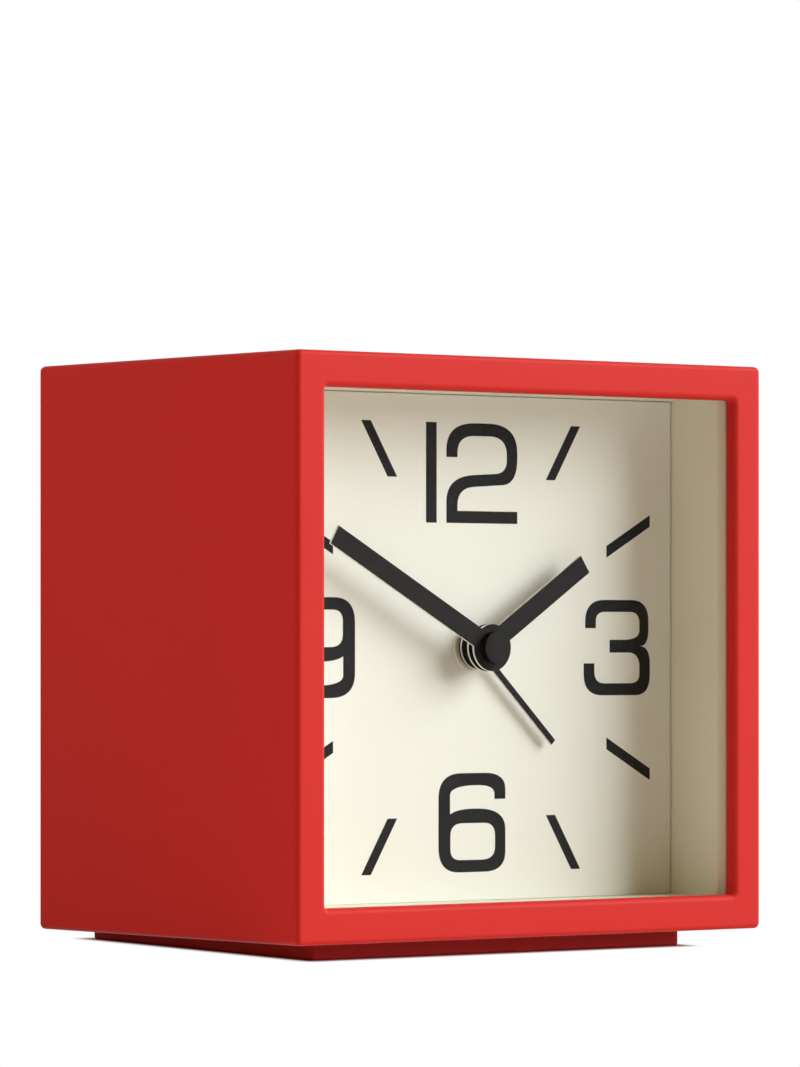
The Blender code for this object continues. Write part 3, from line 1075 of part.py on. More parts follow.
def build_sounder():
    """Piezo sounder in its ring behind the slots, and two leads to the circuit board."""
    back = COVER_DEPTH - FIT_GAP
    front = back - SOUNDER_THICKNESS
    disc = plate([circle(SOUNDER_RADIUS, FINE_STEPS)], SOUNDER_THICKNESS)
    sounder = part("sounder", disc, BLACK_PLASTIC, (0.0, SOUNDER_HEIGHT), front)
    hole(sounder, SOUNDER_PORT, [(0.0, 0.0)], SOUNDER_THICKNESS / 2, SOUNDER_THICKNESS)
    start = Vector((SOUNDER_RADIUS * 0.75, SOUNDER_HEIGHT, -front + FIT_GAP))
    end = Vector((*LEAD_HOLE_PLACE, -HOUSING_WALL_DEPTH))
    reach = (front - MOVEMENT_BACK) / 2
    for index, offset in enumerate((-LEAD_SPACING / 2, LEAD_SPACING / 2), start=1):
        aside = Vector((offset, 0.0, 0.0))
        leave = Vector((LEAD_SWEEP, 0.0, reach))
        arrive = Vector((0.0, 0.0, -2 * reach))
        route = bezier(start + aside, leave, end + aside, arrive, 12)
        part(f"sounder_lead_{index}", wire_mesh(route, LEAD_RADIUS, 1), BLACK_PLASTIC)


def bezier(start, start_pull, end, end_pull, steps):
    """Points on one smooth curve that leaves and arrives along its two pulls."""
    controls = (start, start + start_pull, end + end_pull, end)
    points = []
    for step in range(steps + 1):
        share = step / steps
        weights = ((1 - share) ** 3, 3 * share * (1 - share) ** 2, 3 * share ** 2 * (1 - share), share ** 3)
        points.append(sum((control * weight for control, weight in zip(controls, weights)), Vector()))
    return points


def build_switch():
    """Slide switch behind the cover, with the grip that reaches out through its slot."""
    back = COVER_DEPTH - FIT_GAP
    body_mesh = box(SWITCH_BODY_LENGTH, SWITCH_BODY_WIDTH, SWITCH_BODY_DEPTH)
    body = part("switch_body", body_mesh, STEEL, (SWITCH_ASIDE, SWITCH_HEIGHT), back - SWITCH_BODY_DEPTH)
    slot_depth = SWITCH_STEM_DEPTH + FIT_GAP
    slot = box(SWITCH_SLOT_LENGTH, SWITCH_SLOT_WIDTH, slot_depth + CUT_OVERRUN)
    cut(body, slot, depth=SWITCH_BODY_DEPTH - slot_depth)
    place = (SWITCH_ASIDE - SWITCH_TRAVEL / 2, SWITCH_HEIGHT)
    stem_front = back - SWITCH_STEM_DEPTH
    grip_front = COVER_BACK + FIT_GAP
    stem_mesh = box(SWITCH_STEM_LENGTH, SWITCH_STEM_WIDTH, grip_front - stem_front + SWITCH_GRIP_HEIGHT / 2)
    slider = part("switch_slider", stem_mesh, BLACK_PLASTIC, place, stem_front)
    grip = box(SWITCH_GRIP_LENGTH, SWITCH_GRIP_WIDTH, SWITCH_GRIP_HEIGHT)
    join(slider, grip, depth=grip_front - stem_front)


build_case_shell()
build_foot()
build_lens()
build_dial_box()
build_hands()
build_motion_work()
build_going_train()
build_motor()
build_movement_frame()
build_alarm_contact()
build_battery()
build_rear_cover()
build_battery_door()
build_sounder()
build_switch()
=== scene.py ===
"""Looks of a square-cased alarm clock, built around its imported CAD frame.

Shapes are drawn in the clock's own frame: x to the viewer's right, y up the dial and z towards the
viewer, from the centre of the case's front face. A depth is a distance behind that face.
"""
import json
import math

import bmesh
import bpy
from mathutils import Matrix, Vector
from mathutils.bvhtree import BVHTree
from mathutils.geometry import tessellate_polygon


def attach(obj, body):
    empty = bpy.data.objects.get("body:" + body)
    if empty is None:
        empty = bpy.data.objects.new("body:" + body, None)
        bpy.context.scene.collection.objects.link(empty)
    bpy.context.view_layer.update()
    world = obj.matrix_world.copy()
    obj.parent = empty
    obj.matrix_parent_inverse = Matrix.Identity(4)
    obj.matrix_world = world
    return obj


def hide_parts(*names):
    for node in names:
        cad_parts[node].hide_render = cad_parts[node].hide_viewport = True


MM = 0.001

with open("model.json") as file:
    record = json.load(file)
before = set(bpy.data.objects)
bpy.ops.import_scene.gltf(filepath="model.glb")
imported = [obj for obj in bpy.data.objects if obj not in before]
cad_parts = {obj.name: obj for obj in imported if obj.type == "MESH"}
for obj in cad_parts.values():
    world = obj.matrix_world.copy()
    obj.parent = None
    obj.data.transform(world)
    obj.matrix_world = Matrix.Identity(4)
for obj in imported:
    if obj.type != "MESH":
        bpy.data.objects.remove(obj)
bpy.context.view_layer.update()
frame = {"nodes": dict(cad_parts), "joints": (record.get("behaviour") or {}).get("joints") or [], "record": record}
NODES = frame["nodes"]
HUB = next(joint for joint in frame["joints"] if joint["name"] == "minute_turn")

# Rounding of edges
FACE_EDGE_RADIUS = 0.65 * MM
LONG_EDGE_RADIUS = 0.8 * MM
LIP_RADIUS = 0.85 * MM
WINDOW_CORNER_RADIUS = 0.45 * MM
INNER_EDGE_RADIUS = 0.25 * MM
SEAT_CORNER_RADIUS = 0.5 * MM
FOOT_CORNER_RADIUS = 0.8 * MM
FOOT_EDGE_RADIUS = 0.35 * MM
EDGE_SEGMENTS = 6
ROUND_STEPS = 96
SMOOTH_ANGLE = math.radians(35.0)
BEVEL_ANGLE = math.radians(50.0)

# Dial card and its printing
CARD_SIDE_GAP = 0.15 * MM
CARD_TOP_GAP = 0.13 * MM
CARD_BOTTOM_GAP = 0.04 * MM
CARD_THICKNESS = 0.4 * MM
CARD_HOLE_SHARE = 0.85
INK_THICKNESS = 0.03 * MM
INK_SUNK = 0.01 * MM
NUMERAL_OUTER = 30.5 * MM
TWELVE_HEIGHT = 13.6 * MM
TWELVE_WIDTH = 12.34 * MM
TWELVE_LEFT = -4.47 * MM
ONE_CENTRE = -7.07 * MM
THREE_HEIGHT = 13.2 * MM
THREE_WIDTH = 11.95 * MM
THREE_LEFT = 19.67 * MM
SIX_HEIGHT = 13.45 * MM
SIX_WIDTH = 11.6 * MM
SIX_LEFT = -5.83 * MM
NINE_RIGHT = -20.06 * MM
STROKE = 1.9 * MM
BAR_STROKE = 1.65 * MM
CORNER_FULLNESS = 0.66
CORNER_STEPS = 10
HOUR_BAR_WIDTH = 1.62 * MM
STEEP_BAR_INNER = 23.0 * MM
STEEP_BAR_SLOPE = 0.597
FLAT_BAR_INNER = 23.75 * MM
FLAT_BAR_OUTER = 31.6 * MM
FLAT_BAR_SLOPE = 0.558
HOURS_OF_CORNER = {(1, 1): (1, 2), (1, -1): (5, 4), (-1, -1): (7, 8), (-1, 1): (11, 10)}

# Hands and their cap
HAND_THICKNESS = 0.35 * MM
HAND_EDGE = 0.05 * MM
HAND_TRIM = 0.04 * MM
HAND_TIP_SHARE = 0.97
EYE_REACH = 1.02
COLLET_SHARE = 1.5
CAP_EDGE_RADIUS = 0.12 * MM
CAP_SOCKET_SHARE = 0.4
FLAT_ENOUGH = 0.5

# Fittings of the back
KNOB_FLUTES = 20
STEPS_PER_FLUTE = 8
KNOB_FLUTE_DEPTH = 0.3 * MM
KNOB_EDGE = 0.35 * MM
KNOB_DISH_SHARE = 0.7
KNOB_DISH_DEPTH = 0.2 * MM
SCREW_HEAD_SHARE = 0.97
SCREW_HEAD_HEIGHT = 1.1 * MM
SCREW_DOME = 0.45 * MM
SCREW_RECESS = 0.5 * MM
SCREW_ARM = 1.25 * MM
SCREW_ARM_SLENDER = 0.2
SCREW_CORE = 0.65 * MM
SCREW_THREAD = 0.8 * MM
SCREW_PITCH = 0.7 * MM
LEAST_SINE = 1e-6
MOULDED_EDGE_RADIUS = 0.2 * MM
NUB_LENGTH = 1.2 * MM
BAND_SHARE = 0.28
JACKET_EDGE = 0.5 * MM

# Camera, from the edges of the case in the photograph
IMAGE_SIZE = (800, 1067)
SENSOR = 36.0
CAMERA_AZIMUTH = math.radians(37.85)
CAMERA_DISTANCE = 776.3 * MM
CAMERA_ASIDE = -18.3 * MM
FOCAL_PIXELS = 5791.6
HORIZON_PIXEL = 647.6
NEAREST_SIGHT = 0.01

# Clear pane
LENS_IOR = 1.06
RIPPLE_LENGTH = 12.0 * MM
RIPPLE_ROUGHNESS = 0.02

# Finishes: usual range of a noise, spread of roughness, and a wave texture's band at a scale of 1
NOISE_RANGE = (0.3, 0.7)
ROUGHNESS_SPREAD = 0.1
WAVE_BAND = math.pi / 10
WAVE_WANDER = 0.2

# Light: lamps by azimuth and elevation in degrees from the dial's normal, width, height, power and colour
LAMP_DISTANCE = 3.0
LAMPS = (
    ("key", 49.0, 26.0, 2.4, 2.2, 122.0, (0.92, 0.975, 1.0)),
    ("fill", -112.0, 31.0, 1.8, 1.2, 25.0, (1.0, 0.52, 0.5)),
)
SKY_COLOUR = (0.15, 0.11, 0.025)
FLOOR_COLOUR = (0.85, 0.85, 0.85)
FLOOR_ROUGHNESS = 0.8
FLOOR_SIZE = 6.0
SHADOW_REACH = 3.5 * MM


def clock_matrix():
    """Clock frame in the row frame: the hands' axis, through the case's front face."""
    forward = -Vector(HUB["axis"]).normalized()
    right = Vector((1.0, 0.0, 0.0))
    up = forward.cross(right)
    front = max(vertex.co.dot(forward) for vertex in NODES["case_shell"].data.vertices)
    hub = Vector(HUB["pos_m"])
    origin = hub + forward * (front - hub.dot(forward))
    return Matrix.Translation(origin) @ Matrix((right, up, forward)).transposed().to_4x4()


CLOCK = clock_matrix()
INTO_CLOCK = CLOCK.inverted()


def clock_points(cad):
    """Vertices of a CAD node in the clock frame."""
    return [INTO_CLOCK @ vertex.co for vertex in NODES[cad].data.vertices]


def extent(cad):
    """Lowest and highest corner of a CAD node in the clock frame."""
    points = clock_points(cad)
    low = Vector(min(point[axis] for point in points) for axis in range(3))
    high = Vector(max(point[axis] for point in points) for axis in range(3))
    return low, high


def probe(cad, start, heading):
    """Place where a straight line first meets a CAD node, in the clock frame."""
    mesh = NODES[cad].data
    tree = BVHTree.FromPolygons(
        [vertex.co for vertex in mesh.vertices], [face.vertices for face in mesh.polygons])
    place = tree.ray_cast(CLOCK @ Vector(start), CLOCK.to_3x3() @ Vector(heading))[0]
    return INTO_CLOCK @ place


# Sizes that the scene takes from the frame, probed close to a wall or a face
CLOSE_TO_WALL = 0.98
CLOSE_TO_FACE = 0.9
CASE_LOW, CASE_HIGH = extent("case_shell")
CASE_HALF = (CASE_HIGH.x, CASE_HIGH.y)
CASE_DEPTH = -CASE_LOW.z
CAVITY_HALF = (
    probe("case_shell", (0.0, 0.0, -CASE_DEPTH / 2), (1, 0, 0)).x,
    probe("case_shell", (0.0, 0.0, -CASE_DEPTH / 2), (0, 1, 0)).y,
)
FRONT_WALL = -probe("case_shell", (CAVITY_HALF[0] * CLOSE_TO_WALL, 0.0, -CASE_DEPTH / 2), (0, 0, 1)).z
WINDOW_HALF = (
    probe("case_shell", (0.0, 0.0, -FRONT_WALL * CLOSE_TO_FACE), (1, 0, 0)).x,
    probe("case_shell", (0.0, 0.0, -FRONT_WALL * CLOSE_TO_FACE), (0, 1, 0)).y,
)
COVER_BACK = -extent("rear_cover")[0].z
SEAT_HALF = (
    probe("case_shell", (0.0, 0.0, -COVER_BACK), (1, 0, 0)).x,
    probe("case_shell", (0.0, 0.0, -COVER_BACK), (0, 1, 0)).y,
)
SEAT_MIDDLE = (SEAT_HALF[0] + CAVITY_HALF[0]) / 2
SEAT_DEPTH = -probe("case_shell", (SEAT_MIDDLE, 0.0, -CASE_DEPTH), (0, 0, 1)).z
DIAL_DEPTH = -probe("dial_box", (CAVITY_HALF[0] / 2, CAVITY_HALF[1] / 4, 0.0), (0, 0, -1)).z
DIAL_HALF = (
    probe("dial_box", (0.0, 0.0, -DIAL_DEPTH * CLOSE_TO_FACE), (1, 0, 0)).x,
    probe("dial_box", (0.0, 0.0, -DIAL_DEPTH * CLOSE_TO_FACE), (0, 1, 0)).y,
)
NUT_RADIUS = extent("bush_nut")[1].x
FOOT_CORNERS = [vertex.co for vertex in NODES["foot"].data.vertices]
FOOT_BOX = (
    Vector(min(corner[axis] for corner in FOOT_CORNERS) for axis in range(3)),
    Vector(max(corner[axis] for corner in FOOT_CORNERS) for axis in range(3)),
)
CARD_FRONT = DIAL_DEPTH - CARD_THICKNESS


# Mesh helpers


def add_piece(name, mesh, body, surfaces, slot, *stands_for):
    """A finished piece that rides on a CAD body and stands for CAD nodes."""
    piece = bpy.data.objects.new(name, mesh)
    for finish in surfaces:
        mesh.materials.append(finish)
    bpy.context.scene.collection.objects.link(piece)
    piece.matrix_world = CLOCK
    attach(piece, body)
    if stands_for:
        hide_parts(*stands_for)
    return piece


def finish_mesh(shape, name):
    """Mesh with outward normals, smooth across all but its sharp edges."""
    bmesh.ops.recalc_face_normals(shape, faces=shape.faces)
    mesh = bpy.data.meshes.new(name)
    shape.to_mesh(mesh)
    shape.free()
    mesh.shade_smooth()
    mesh.set_sharp_from_angle(angle=SMOOTH_ANGLE)
    return mesh


def add_bevel(piece, width, segments, weighted=True):
    """Rounding of a piece's weighted edges, or of all its sharp ones."""
    bevel = piece.modifiers.new("rounded_edges", "BEVEL")
    bevel.limit_method = "WEIGHT" if weighted else "ANGLE"
    bevel.angle_limit = BEVEL_ANGLE
    bevel.width = width
    bevel.segments = segments
    bevel.harden_normals = True


def polar(radius, angle, centre=(0.0, 0.0)):
    """Point at a radius and an angle from a centre."""
    return (centre[0] + radius * math.cos(angle), centre[1] + radius * math.sin(angle))


def circle(radius):
    """Outline of a round hole or disc."""
    return [polar(radius, 2 * math.pi * step / ROUND_STEPS) for step in range(ROUND_STEPS)]


def ease(corners):
    """Closed outline from corners: (x, y) is sharp, (x, y, before, after) bends over those lengths."""
    points = []
    for index, corner in enumerate(corners):
        tip = Vector(corner[:2])
        if len(corner) == 2:
            points.append(tuple(tip))
            continue
        start = tip + (Vector(corners[index - 1][:2]) - tip).normalized() * corner[2]
        end = tip + (Vector(corners[(index + 1) % len(corners)][:2]) - tip).normalized() * corner[3]
        pulls = (start, start.lerp(tip, CORNER_FULLNESS), end.lerp(tip, CORNER_FULLNESS), end)
        for step in range(CORNER_STEPS + 1):
            share = step / CORNER_STEPS
            rest = 1 - share
            weights = (rest ** 3, 3 * share * rest ** 2, 3 * share ** 2 * rest, share ** 3)
            bend = sum((pull * weight for pull, weight in zip(pulls, weights)), Vector((0, 0)))
            points.append(tuple(bend))
    return points


def plate(name, outlines, front, thickness):
    """Flat plate with its front at a depth; every outline after the first is a hole."""
    rings = [[Vector((x, y, 0.0)) for x, y in outline] for outline in outlines]
    shape = bmesh.new()
    front_ring = [shape.verts.new((p.x, p.y, -front)) for ring in rings for p in ring]
    back_ring = [shape.verts.new((p.x, p.y, -front - thickness)) for ring in rings for p in ring]
    for triangle in tessellate_polygon(rings):
        shape.faces.new([front_ring[index] for index in triangle])
        shape.faces.new([back_ring[index] for index in reversed(triangle)])
    start = 0
    for ring in rings:
        for index in range(len(ring)):
            a = start + index
            b = start + (index + 1) % len(ring)
            shape.faces.new((front_ring[a], back_ring[a], back_ring[b], front_ring[b]))
        start += len(ring)
    return finish_mesh(shape, name)


def lathe(name, profile, steps=ROUND_STEPS, waist=None):
    """Turned solid about z through (radius, depth) points; waist(angle, radius) scales each radius.

    A profile that ends where it starts makes a tube, and any other has its ends on the axis.
    """
    shape = bmesh.new()
    rings = []
    is_tube = profile[0] == profile[-1]
    for radius, depth in profile[:-1] if is_tube else profile:
        if radius == 0.0:
            rings.append([shape.verts.new((0.0, 0.0, -depth))])
            continue
        ring = []
        for step in range(steps):
            angle = 2 * math.pi * step / steps
            scale = waist(angle, radius) if waist else 1.0
            ring.append(shape.verts.new((*polar(radius * scale, angle), -depth)))
        rings.append(ring)
    if is_tube:
        rings.append(rings[0])
    for ring, other in zip(rings, rings[1:]):
        for step in range(steps):
            after = (step + 1) % steps
            corners = [ring[step % len(ring)], ring[after % len(ring)],
                       other[after % len(other)], other[step % len(other)]]
            shape.faces.new(list(dict.fromkeys(corners)))
    return finish_mesh(shape, name)


def rounded_rectangle(half_width, half_height, radius):
    """Corner arcs of a rectangle, all the way round."""
    points = []
    for quarter, (side, end) in enumerate(((1, 1), (-1, 1), (-1, -1), (1, -1))):
        centre = (side * (half_width - radius), end * (half_height - radius))
        for step in range(EDGE_SEGMENTS + 1):
            points.append(polar(radius, (quarter + step / EDGE_SEGMENTS) * math.pi / 2, centre))
    return points


def quarter_turns():
    """Angles from 0 to a right angle over which an edge is rounded."""
    return [math.pi / 2 * step / EDGE_SEGMENTS for step in range(EDGE_SEGMENTS + 1)]


def loft(name, sections):
    """Closed skin over rounded rectangles of (half width, half height, corner radius, depth)."""
    shape = bmesh.new()
    rings = [
        [shape.verts.new((x, y, -depth)) for x, y in rounded_rectangle(half_width, half_height, radius)]
        for half_width, half_height, radius, depth in sections
    ]
    for ring, other in zip(rings, rings[1:] + rings[:1]):
        for index in range(len(ring)):
            after = (index + 1) % len(ring)
            shape.faces.new((ring[index], ring[after], other[after], other[index]))
    return finish_mesh(shape, name)


def grown(half, offset):
    """Half sizes of a rectangle, larger by an offset all round."""
    return (half[0] + offset, half[1] + offset)


def flatten_faces(piece):
    """Normals that follow the large faces, so that only the rounded edges shade off."""
    normals = piece.modifiers.new("flat_faces", "WEIGHTED_NORMAL")
    normals.weight = 100
    normals.keep_sharp = True


# Finishes


def node(tree, kind, **inputs):
    """A shader node with some of its inputs set or linked."""
    made = tree.nodes.new(kind)
    for name, value in inputs.items():
        socket = made.inputs[name.replace("_", " ")]
        if isinstance(value, bpy.types.NodeSocket):
            tree.links.new(value, socket)
        else:
            socket.default_value = value
    return made


def noise(tree, place, size, detail=3.0):
    """Noise whose blotches are about a given length across."""
    return node(tree, "ShaderNodeTexNoise", Vector=place, Scale=1.0 / size, Detail=detail).outputs["Fac"]


def spread(tree, value, low, high):
    """Noise value stretched over a range."""
    made = node(tree, "ShaderNodeMapRange", Value=value)
    made.inputs["From Min"].default_value = NOISE_RANGE[0]
    made.inputs["From Max"].default_value = NOISE_RANGE[1]
    made.inputs["To Min"].default_value = low
    made.inputs["To Max"].default_value = high
    return made.outputs["Result"]


def blend_colours(tree, factor, first, second):
    """Colour between two others; each argument is a plain value or a socket to link."""
    made = tree.nodes.new("ShaderNodeMix")
    made.data_type = "RGBA"
    colours = [socket for socket in made.inputs if socket.type == "RGBA"]
    for socket, value in zip((made.inputs["Factor"], *colours), (factor, first, second)):
        if isinstance(value, bpy.types.NodeSocket):
            tree.links.new(value, socket)
        else:
            socket.default_value = (*value, 1.0) if socket in colours else value
    return next(socket for socket in made.outputs if socket.type == "RGBA")


def shaded(colour, share):
    """A colour scaled in brightness."""
    return tuple(channel * share for channel in colour)


def surface(name, colour, roughness, grain=0.15 * MM, grain_height=0.004 * MM, mottle=6.0 * MM,
            depth_of_colour=0.04, metallic=0.0, specular=0.5, stretch=(1.0, 1.0, 1.0), lines=None):
    """Finish with a fine grain, a slow drift of colour, and a roughness that varies with the grain.

    Lines, as (direction, pitch, colour, height), add wound, turned, printed or etched stripes.
    """
    made = bpy.data.materials.new(name)
    made.use_nodes = True
    tree = made.node_tree
    shader = tree.nodes["Principled BSDF"]
    place = node(tree, "ShaderNodeTexCoord").outputs["Object"]
    stretched = node(tree, "ShaderNodeMapping", Vector=place, Scale=stretch).outputs["Vector"]
    fine = noise(tree, stretched, grain)
    slow = noise(tree, place, mottle, 2.0)
    dark = shaded(colour, 1.0 - depth_of_colour)
    light = shaded(colour, 1.0 + depth_of_colour)
    drift = blend_colours(tree, slow, dark, light)
    speckle = blend_colours(tree, fine, dark, light)
    tint = blend_colours(tree, 0.5, drift, speckle)
    bump = node(tree, "ShaderNodeBump", Height=fine, Strength=1.0, Distance=grain_height)
    if lines:
        direction, pitch, line_colour, line_height = lines
        wave = node(tree, "ShaderNodeTexWave", Vector=place, Scale=WAVE_BAND / pitch, Distortion=WAVE_WANDER)
        wave.bands_direction = direction
        stripe = spread(tree, wave.outputs["Fac"], 0.0, 1.0)
        tint = blend_colours(tree, stripe, tint, line_colour)
        bump = node(tree, "ShaderNodeBump", Height=stripe, Strength=1.0, Distance=line_height,
                    Normal=bump.outputs["Normal"])
    sheen = spread(tree, fine, roughness * (1.0 - ROUGHNESS_SPREAD), roughness * (1.0 + ROUGHNESS_SPREAD))
    tree.links.new(tint, shader.inputs["Base Color"])
    tree.links.new(sheen, shader.inputs["Roughness"])
    tree.links.new(bump.outputs["Normal"], shader.inputs["Normal"])
    shader.inputs["Metallic"].default_value = metallic
    shader.inputs["Specular IOR Level"].default_value = specular
    return made


def clear_acrylic():
    """Polished pane with faint ripple; light on its way to the dial passes straight through."""
    made = bpy.data.materials.new("clear_acrylic_lens")
    made.use_nodes = True
    tree = made.node_tree
    shader = tree.nodes["Principled BSDF"]
    shader.inputs["Base Color"].default_value = (1.0, 1.0, 1.0, 1.0)
    shader.inputs["Transmission Weight"].default_value = 1.0
    shader.inputs["IOR"].default_value = LENS_IOR
    place = node(tree, "ShaderNodeTexCoord").outputs["Object"]
    ripple = noise(tree, place, RIPPLE_LENGTH, 1.0)
    tree.links.new(spread(tree, ripple, 0.0, RIPPLE_ROUGHNESS), shader.inputs["Roughness"])
    rays = node(tree, "ShaderNodeLightPath")
    passing = tree.nodes.new("ShaderNodeMath")
    passing.operation = "MAXIMUM"
    tree.links.new(rays.outputs["Is Shadow Ray"], passing.inputs[0])
    tree.links.new(rays.outputs["Is Diffuse Ray"], passing.inputs[1])
    mix = tree.nodes.new("ShaderNodeMixShader")
    tree.links.new(passing.outputs["Value"], mix.inputs["Fac"])
    tree.links.new(shader.outputs["BSDF"], mix.inputs[1])
    tree.links.new(node(tree, "ShaderNodeBsdfTransparent").outputs["BSDF"], mix.inputs[2])
    tree.links.new(mix.outputs["Shader"], tree.nodes["Material Output"].inputs["Surface"])
    return made


RED = surface("red_satin_paint", (0.67, 0.026, 0.021), 0.5, specular=0.12)
FOOT_RED = surface("red_foot_rubber", (0.62, 0.046, 0.043), 0.6, grain=0.25 * MM, specular=0.12)
CREAM = surface("cream_dial_card", (0.86, 0.863, 0.787), 0.6, depth_of_colour=0.012, specular=0.1)
CREAM_WALL = surface("cream_box_plastic", (0.82, 0.785, 0.65), 0.55, depth_of_colour=0.015, specular=0.1)
INK = surface("black_dial_ink", (0.0275, 0.0275, 0.028), 0.5, depth_of_colour=0.1, specular=0.005)
BLACK = surface("black_hand_paint", (0.028, 0.027, 0.0265), 0.45, depth_of_colour=0.1, specular=0.01)
# Painted shade: the hub cap's side is made near-black, darker than its front face, to stand in for the shade it
# sits in.
CAP_SIDE_PAINTED_SHADE = surface("painted_shade_cap_side", (0.005, 0.005, 0.005), 0.4, depth_of_colour=0.1, specular=0.01)
CUT_EDGE = surface("dull_cut_edge", (0.75, 0.73, 0.66), 0.6, depth_of_colour=0.06, specular=0.05)
BARE_EDGE = surface("bare_stamped_edge", (0.80, 0.77, 0.70), 0.35, metallic=1.0, grain=0.05 * MM)
BLACK_PLASTIC = surface("black_moulded_plastic", (0.022, 0.022, 0.023), 0.5, depth_of_colour=0.12)
WHITE_PLASTIC = surface("white_wheel_plastic", (0.76, 0.75, 0.71), 0.4, depth_of_colour=0.03)
STEEL = surface("bright_steel", (0.62, 0.62, 0.63), 0.28, metallic=1.0, stretch=(1.0, 0.05, 1.0))
BRASS = surface("turned_brass", (0.72, 0.52, 0.22), 0.28, metallic=1.0,
                lines=("Y", 0.15 * MM, (0.66, 0.47, 0.19), 0.003 * MM))
COPPER = surface("enamelled_copper", (0.60, 0.22, 0.08), 0.32, metallic=1.0,
                 lines=("X", 0.2 * MM, (0.36, 0.12, 0.04), 0.02 * MM))
BOARD = surface("green_solder_mask", (0.03, 0.17, 0.06), 0.35, depth_of_colour=0.15, mottle=2.0 * MM,
                lines=("Z", 1.1 * MM, (0.05, 0.23, 0.09), 0.02 * MM))
JACKET = surface("battery_jacket", (0.05, 0.05, 0.055), 0.3, depth_of_colour=0.1)
JACKET_BAND = surface("battery_jacket_band", (0.50, 0.50, 0.51), 0.3, metallic=0.8,
                      stretch=(0.05, 1.0, 1.0))
CLEAR = clear_acrylic()

SLOT_SURFACES = {
    "red_case": RED,
    "red_foot": FOOT_RED,
    "cream_dial": CREAM_WALL,
    "clear_lens": CLEAR,
    "black_hands": BLACK,
    "black_plastic": BLACK_PLASTIC,
    "white_plastic": WHITE_PLASTIC,
    "bright_steel": STEEL,
    "brass": BRASS,
    "copper_winding": COPPER,
    "green_board": BOARD,
    "battery_jacket": JACKET,
}
for subpart in frame["record"]["subparts"]:
    materials = NODES[subpart["node"]].data.materials
    materials.clear()
    materials.append(SLOT_SURFACES[subpart["material_slot"]])


# Pieces


def build_case():
    """Red shell: window, rounded lip, rounded outer edges, rear rim, cover seat and cavity in one skin."""
    window = [(*WINDOW_HALF, WINDOW_CORNER_RADIUS, FRONT_WALL)]
    for turn in quarter_turns():
        offset = LIP_RADIUS * (1 - math.cos(turn))
        depth = LIP_RADIUS * (1 - math.sin(turn))
        window.append((*grown(WINDOW_HALF, offset), WINDOW_CORNER_RADIUS + offset, depth))
    front = []
    for turn in quarter_turns():
        offset = FACE_EDGE_RADIUS * (math.sin(turn) - 1)
        depth = FACE_EDGE_RADIUS * (1 - math.cos(turn))
        front.append((*grown(CASE_HALF, offset), LONG_EDGE_RADIUS + offset, depth))
    back = [(*section[:3], CASE_DEPTH - section[3]) for section in reversed(front)]
    rim = []
    for turn in quarter_turns():
        offset = INNER_EDGE_RADIUS * (1 - math.sin(turn))
        depth = CASE_DEPTH - INNER_EDGE_RADIUS * (1 - math.cos(turn))
        rim.append((*grown(SEAT_HALF, offset), SEAT_CORNER_RADIUS + offset, depth))
    inside = [
        (*SEAT_HALF, SEAT_CORNER_RADIUS, SEAT_DEPTH),
        (*CAVITY_HALF, SEAT_CORNER_RADIUS, SEAT_DEPTH),
        (*CAVITY_HALF, SEAT_CORNER_RADIUS, FRONT_WALL),
    ]
    mesh = loft("case_body", window + front + back + rim + inside)
    flatten_faces(add_piece("case_body", mesh, "case", [RED], "red_case", "case_shell"))


def floor_height(depth):
    """Height in the clock frame of the floor below a depth."""
    up = CLOCK.to_3x3() @ Vector((0.0, 1.0, 0.0))
    back = CLOCK @ Vector((0.0, 0.0, -depth))
    return -back.z / up.z


def build_foot():
    """Wedge between the case floor and the floor it stands on."""
    low, high = extent("foot")
    radius = FOOT_CORNER_RADIUS
    corners = ((high.x, high.z), (low.x, high.z), (low.x, low.z), (high.x, low.z))
    outline = ease([(*corner, radius, radius) for corner in corners])
    shape = bmesh.new()
    weight = shape.edges.layers.float.new("bevel_weight_edge")
    upper = [shape.verts.new((x, -CASE_HALF[1], z)) for x, z in outline]
    lower = [shape.verts.new((x, floor_height(-z), z)) for x, z in outline]
    shape.faces.new(upper)
    shape.faces.new(lower[::-1])
    for index in range(len(outline)):
        after = (index + 1) % len(outline)
        shape.faces.new((upper[index], lower[index], lower[after], upper[after]))
        shape.edges.get((lower[index], lower[after]))[weight] = 1.0
    mesh = finish_mesh(shape, "foot_block")
    foot = add_piece("foot_block", mesh, "case", [FOOT_RED], "red_foot", "foot")
    add_bevel(foot, FOOT_EDGE_RADIUS, segments=3)


def build_card():
    """Dial card a little smaller than its box, with a clear hole under the nut."""
    side = DIAL_HALF[0] - CARD_SIDE_GAP
    top = DIAL_HALF[1] - CARD_TOP_GAP
    bottom = CARD_BOTTOM_GAP - DIAL_HALF[1]
    outline = [(side, top), (-side, top), (-side, bottom), (side, bottom)]
    mesh = plate("dial_card", [outline, circle(NUT_RADIUS * CARD_HOLE_SHARE)], CARD_FRONT, CARD_THICKNESS)
    add_piece("dial_card", mesh, "case", [CREAM], "cream_dial")


def outline_one(height):
    """Figure one: a plain upright stroke."""
    half = STROKE * 0.48
    return [[(-half, 0.0), (half, 0.0), (half, height), (-half, height)]]


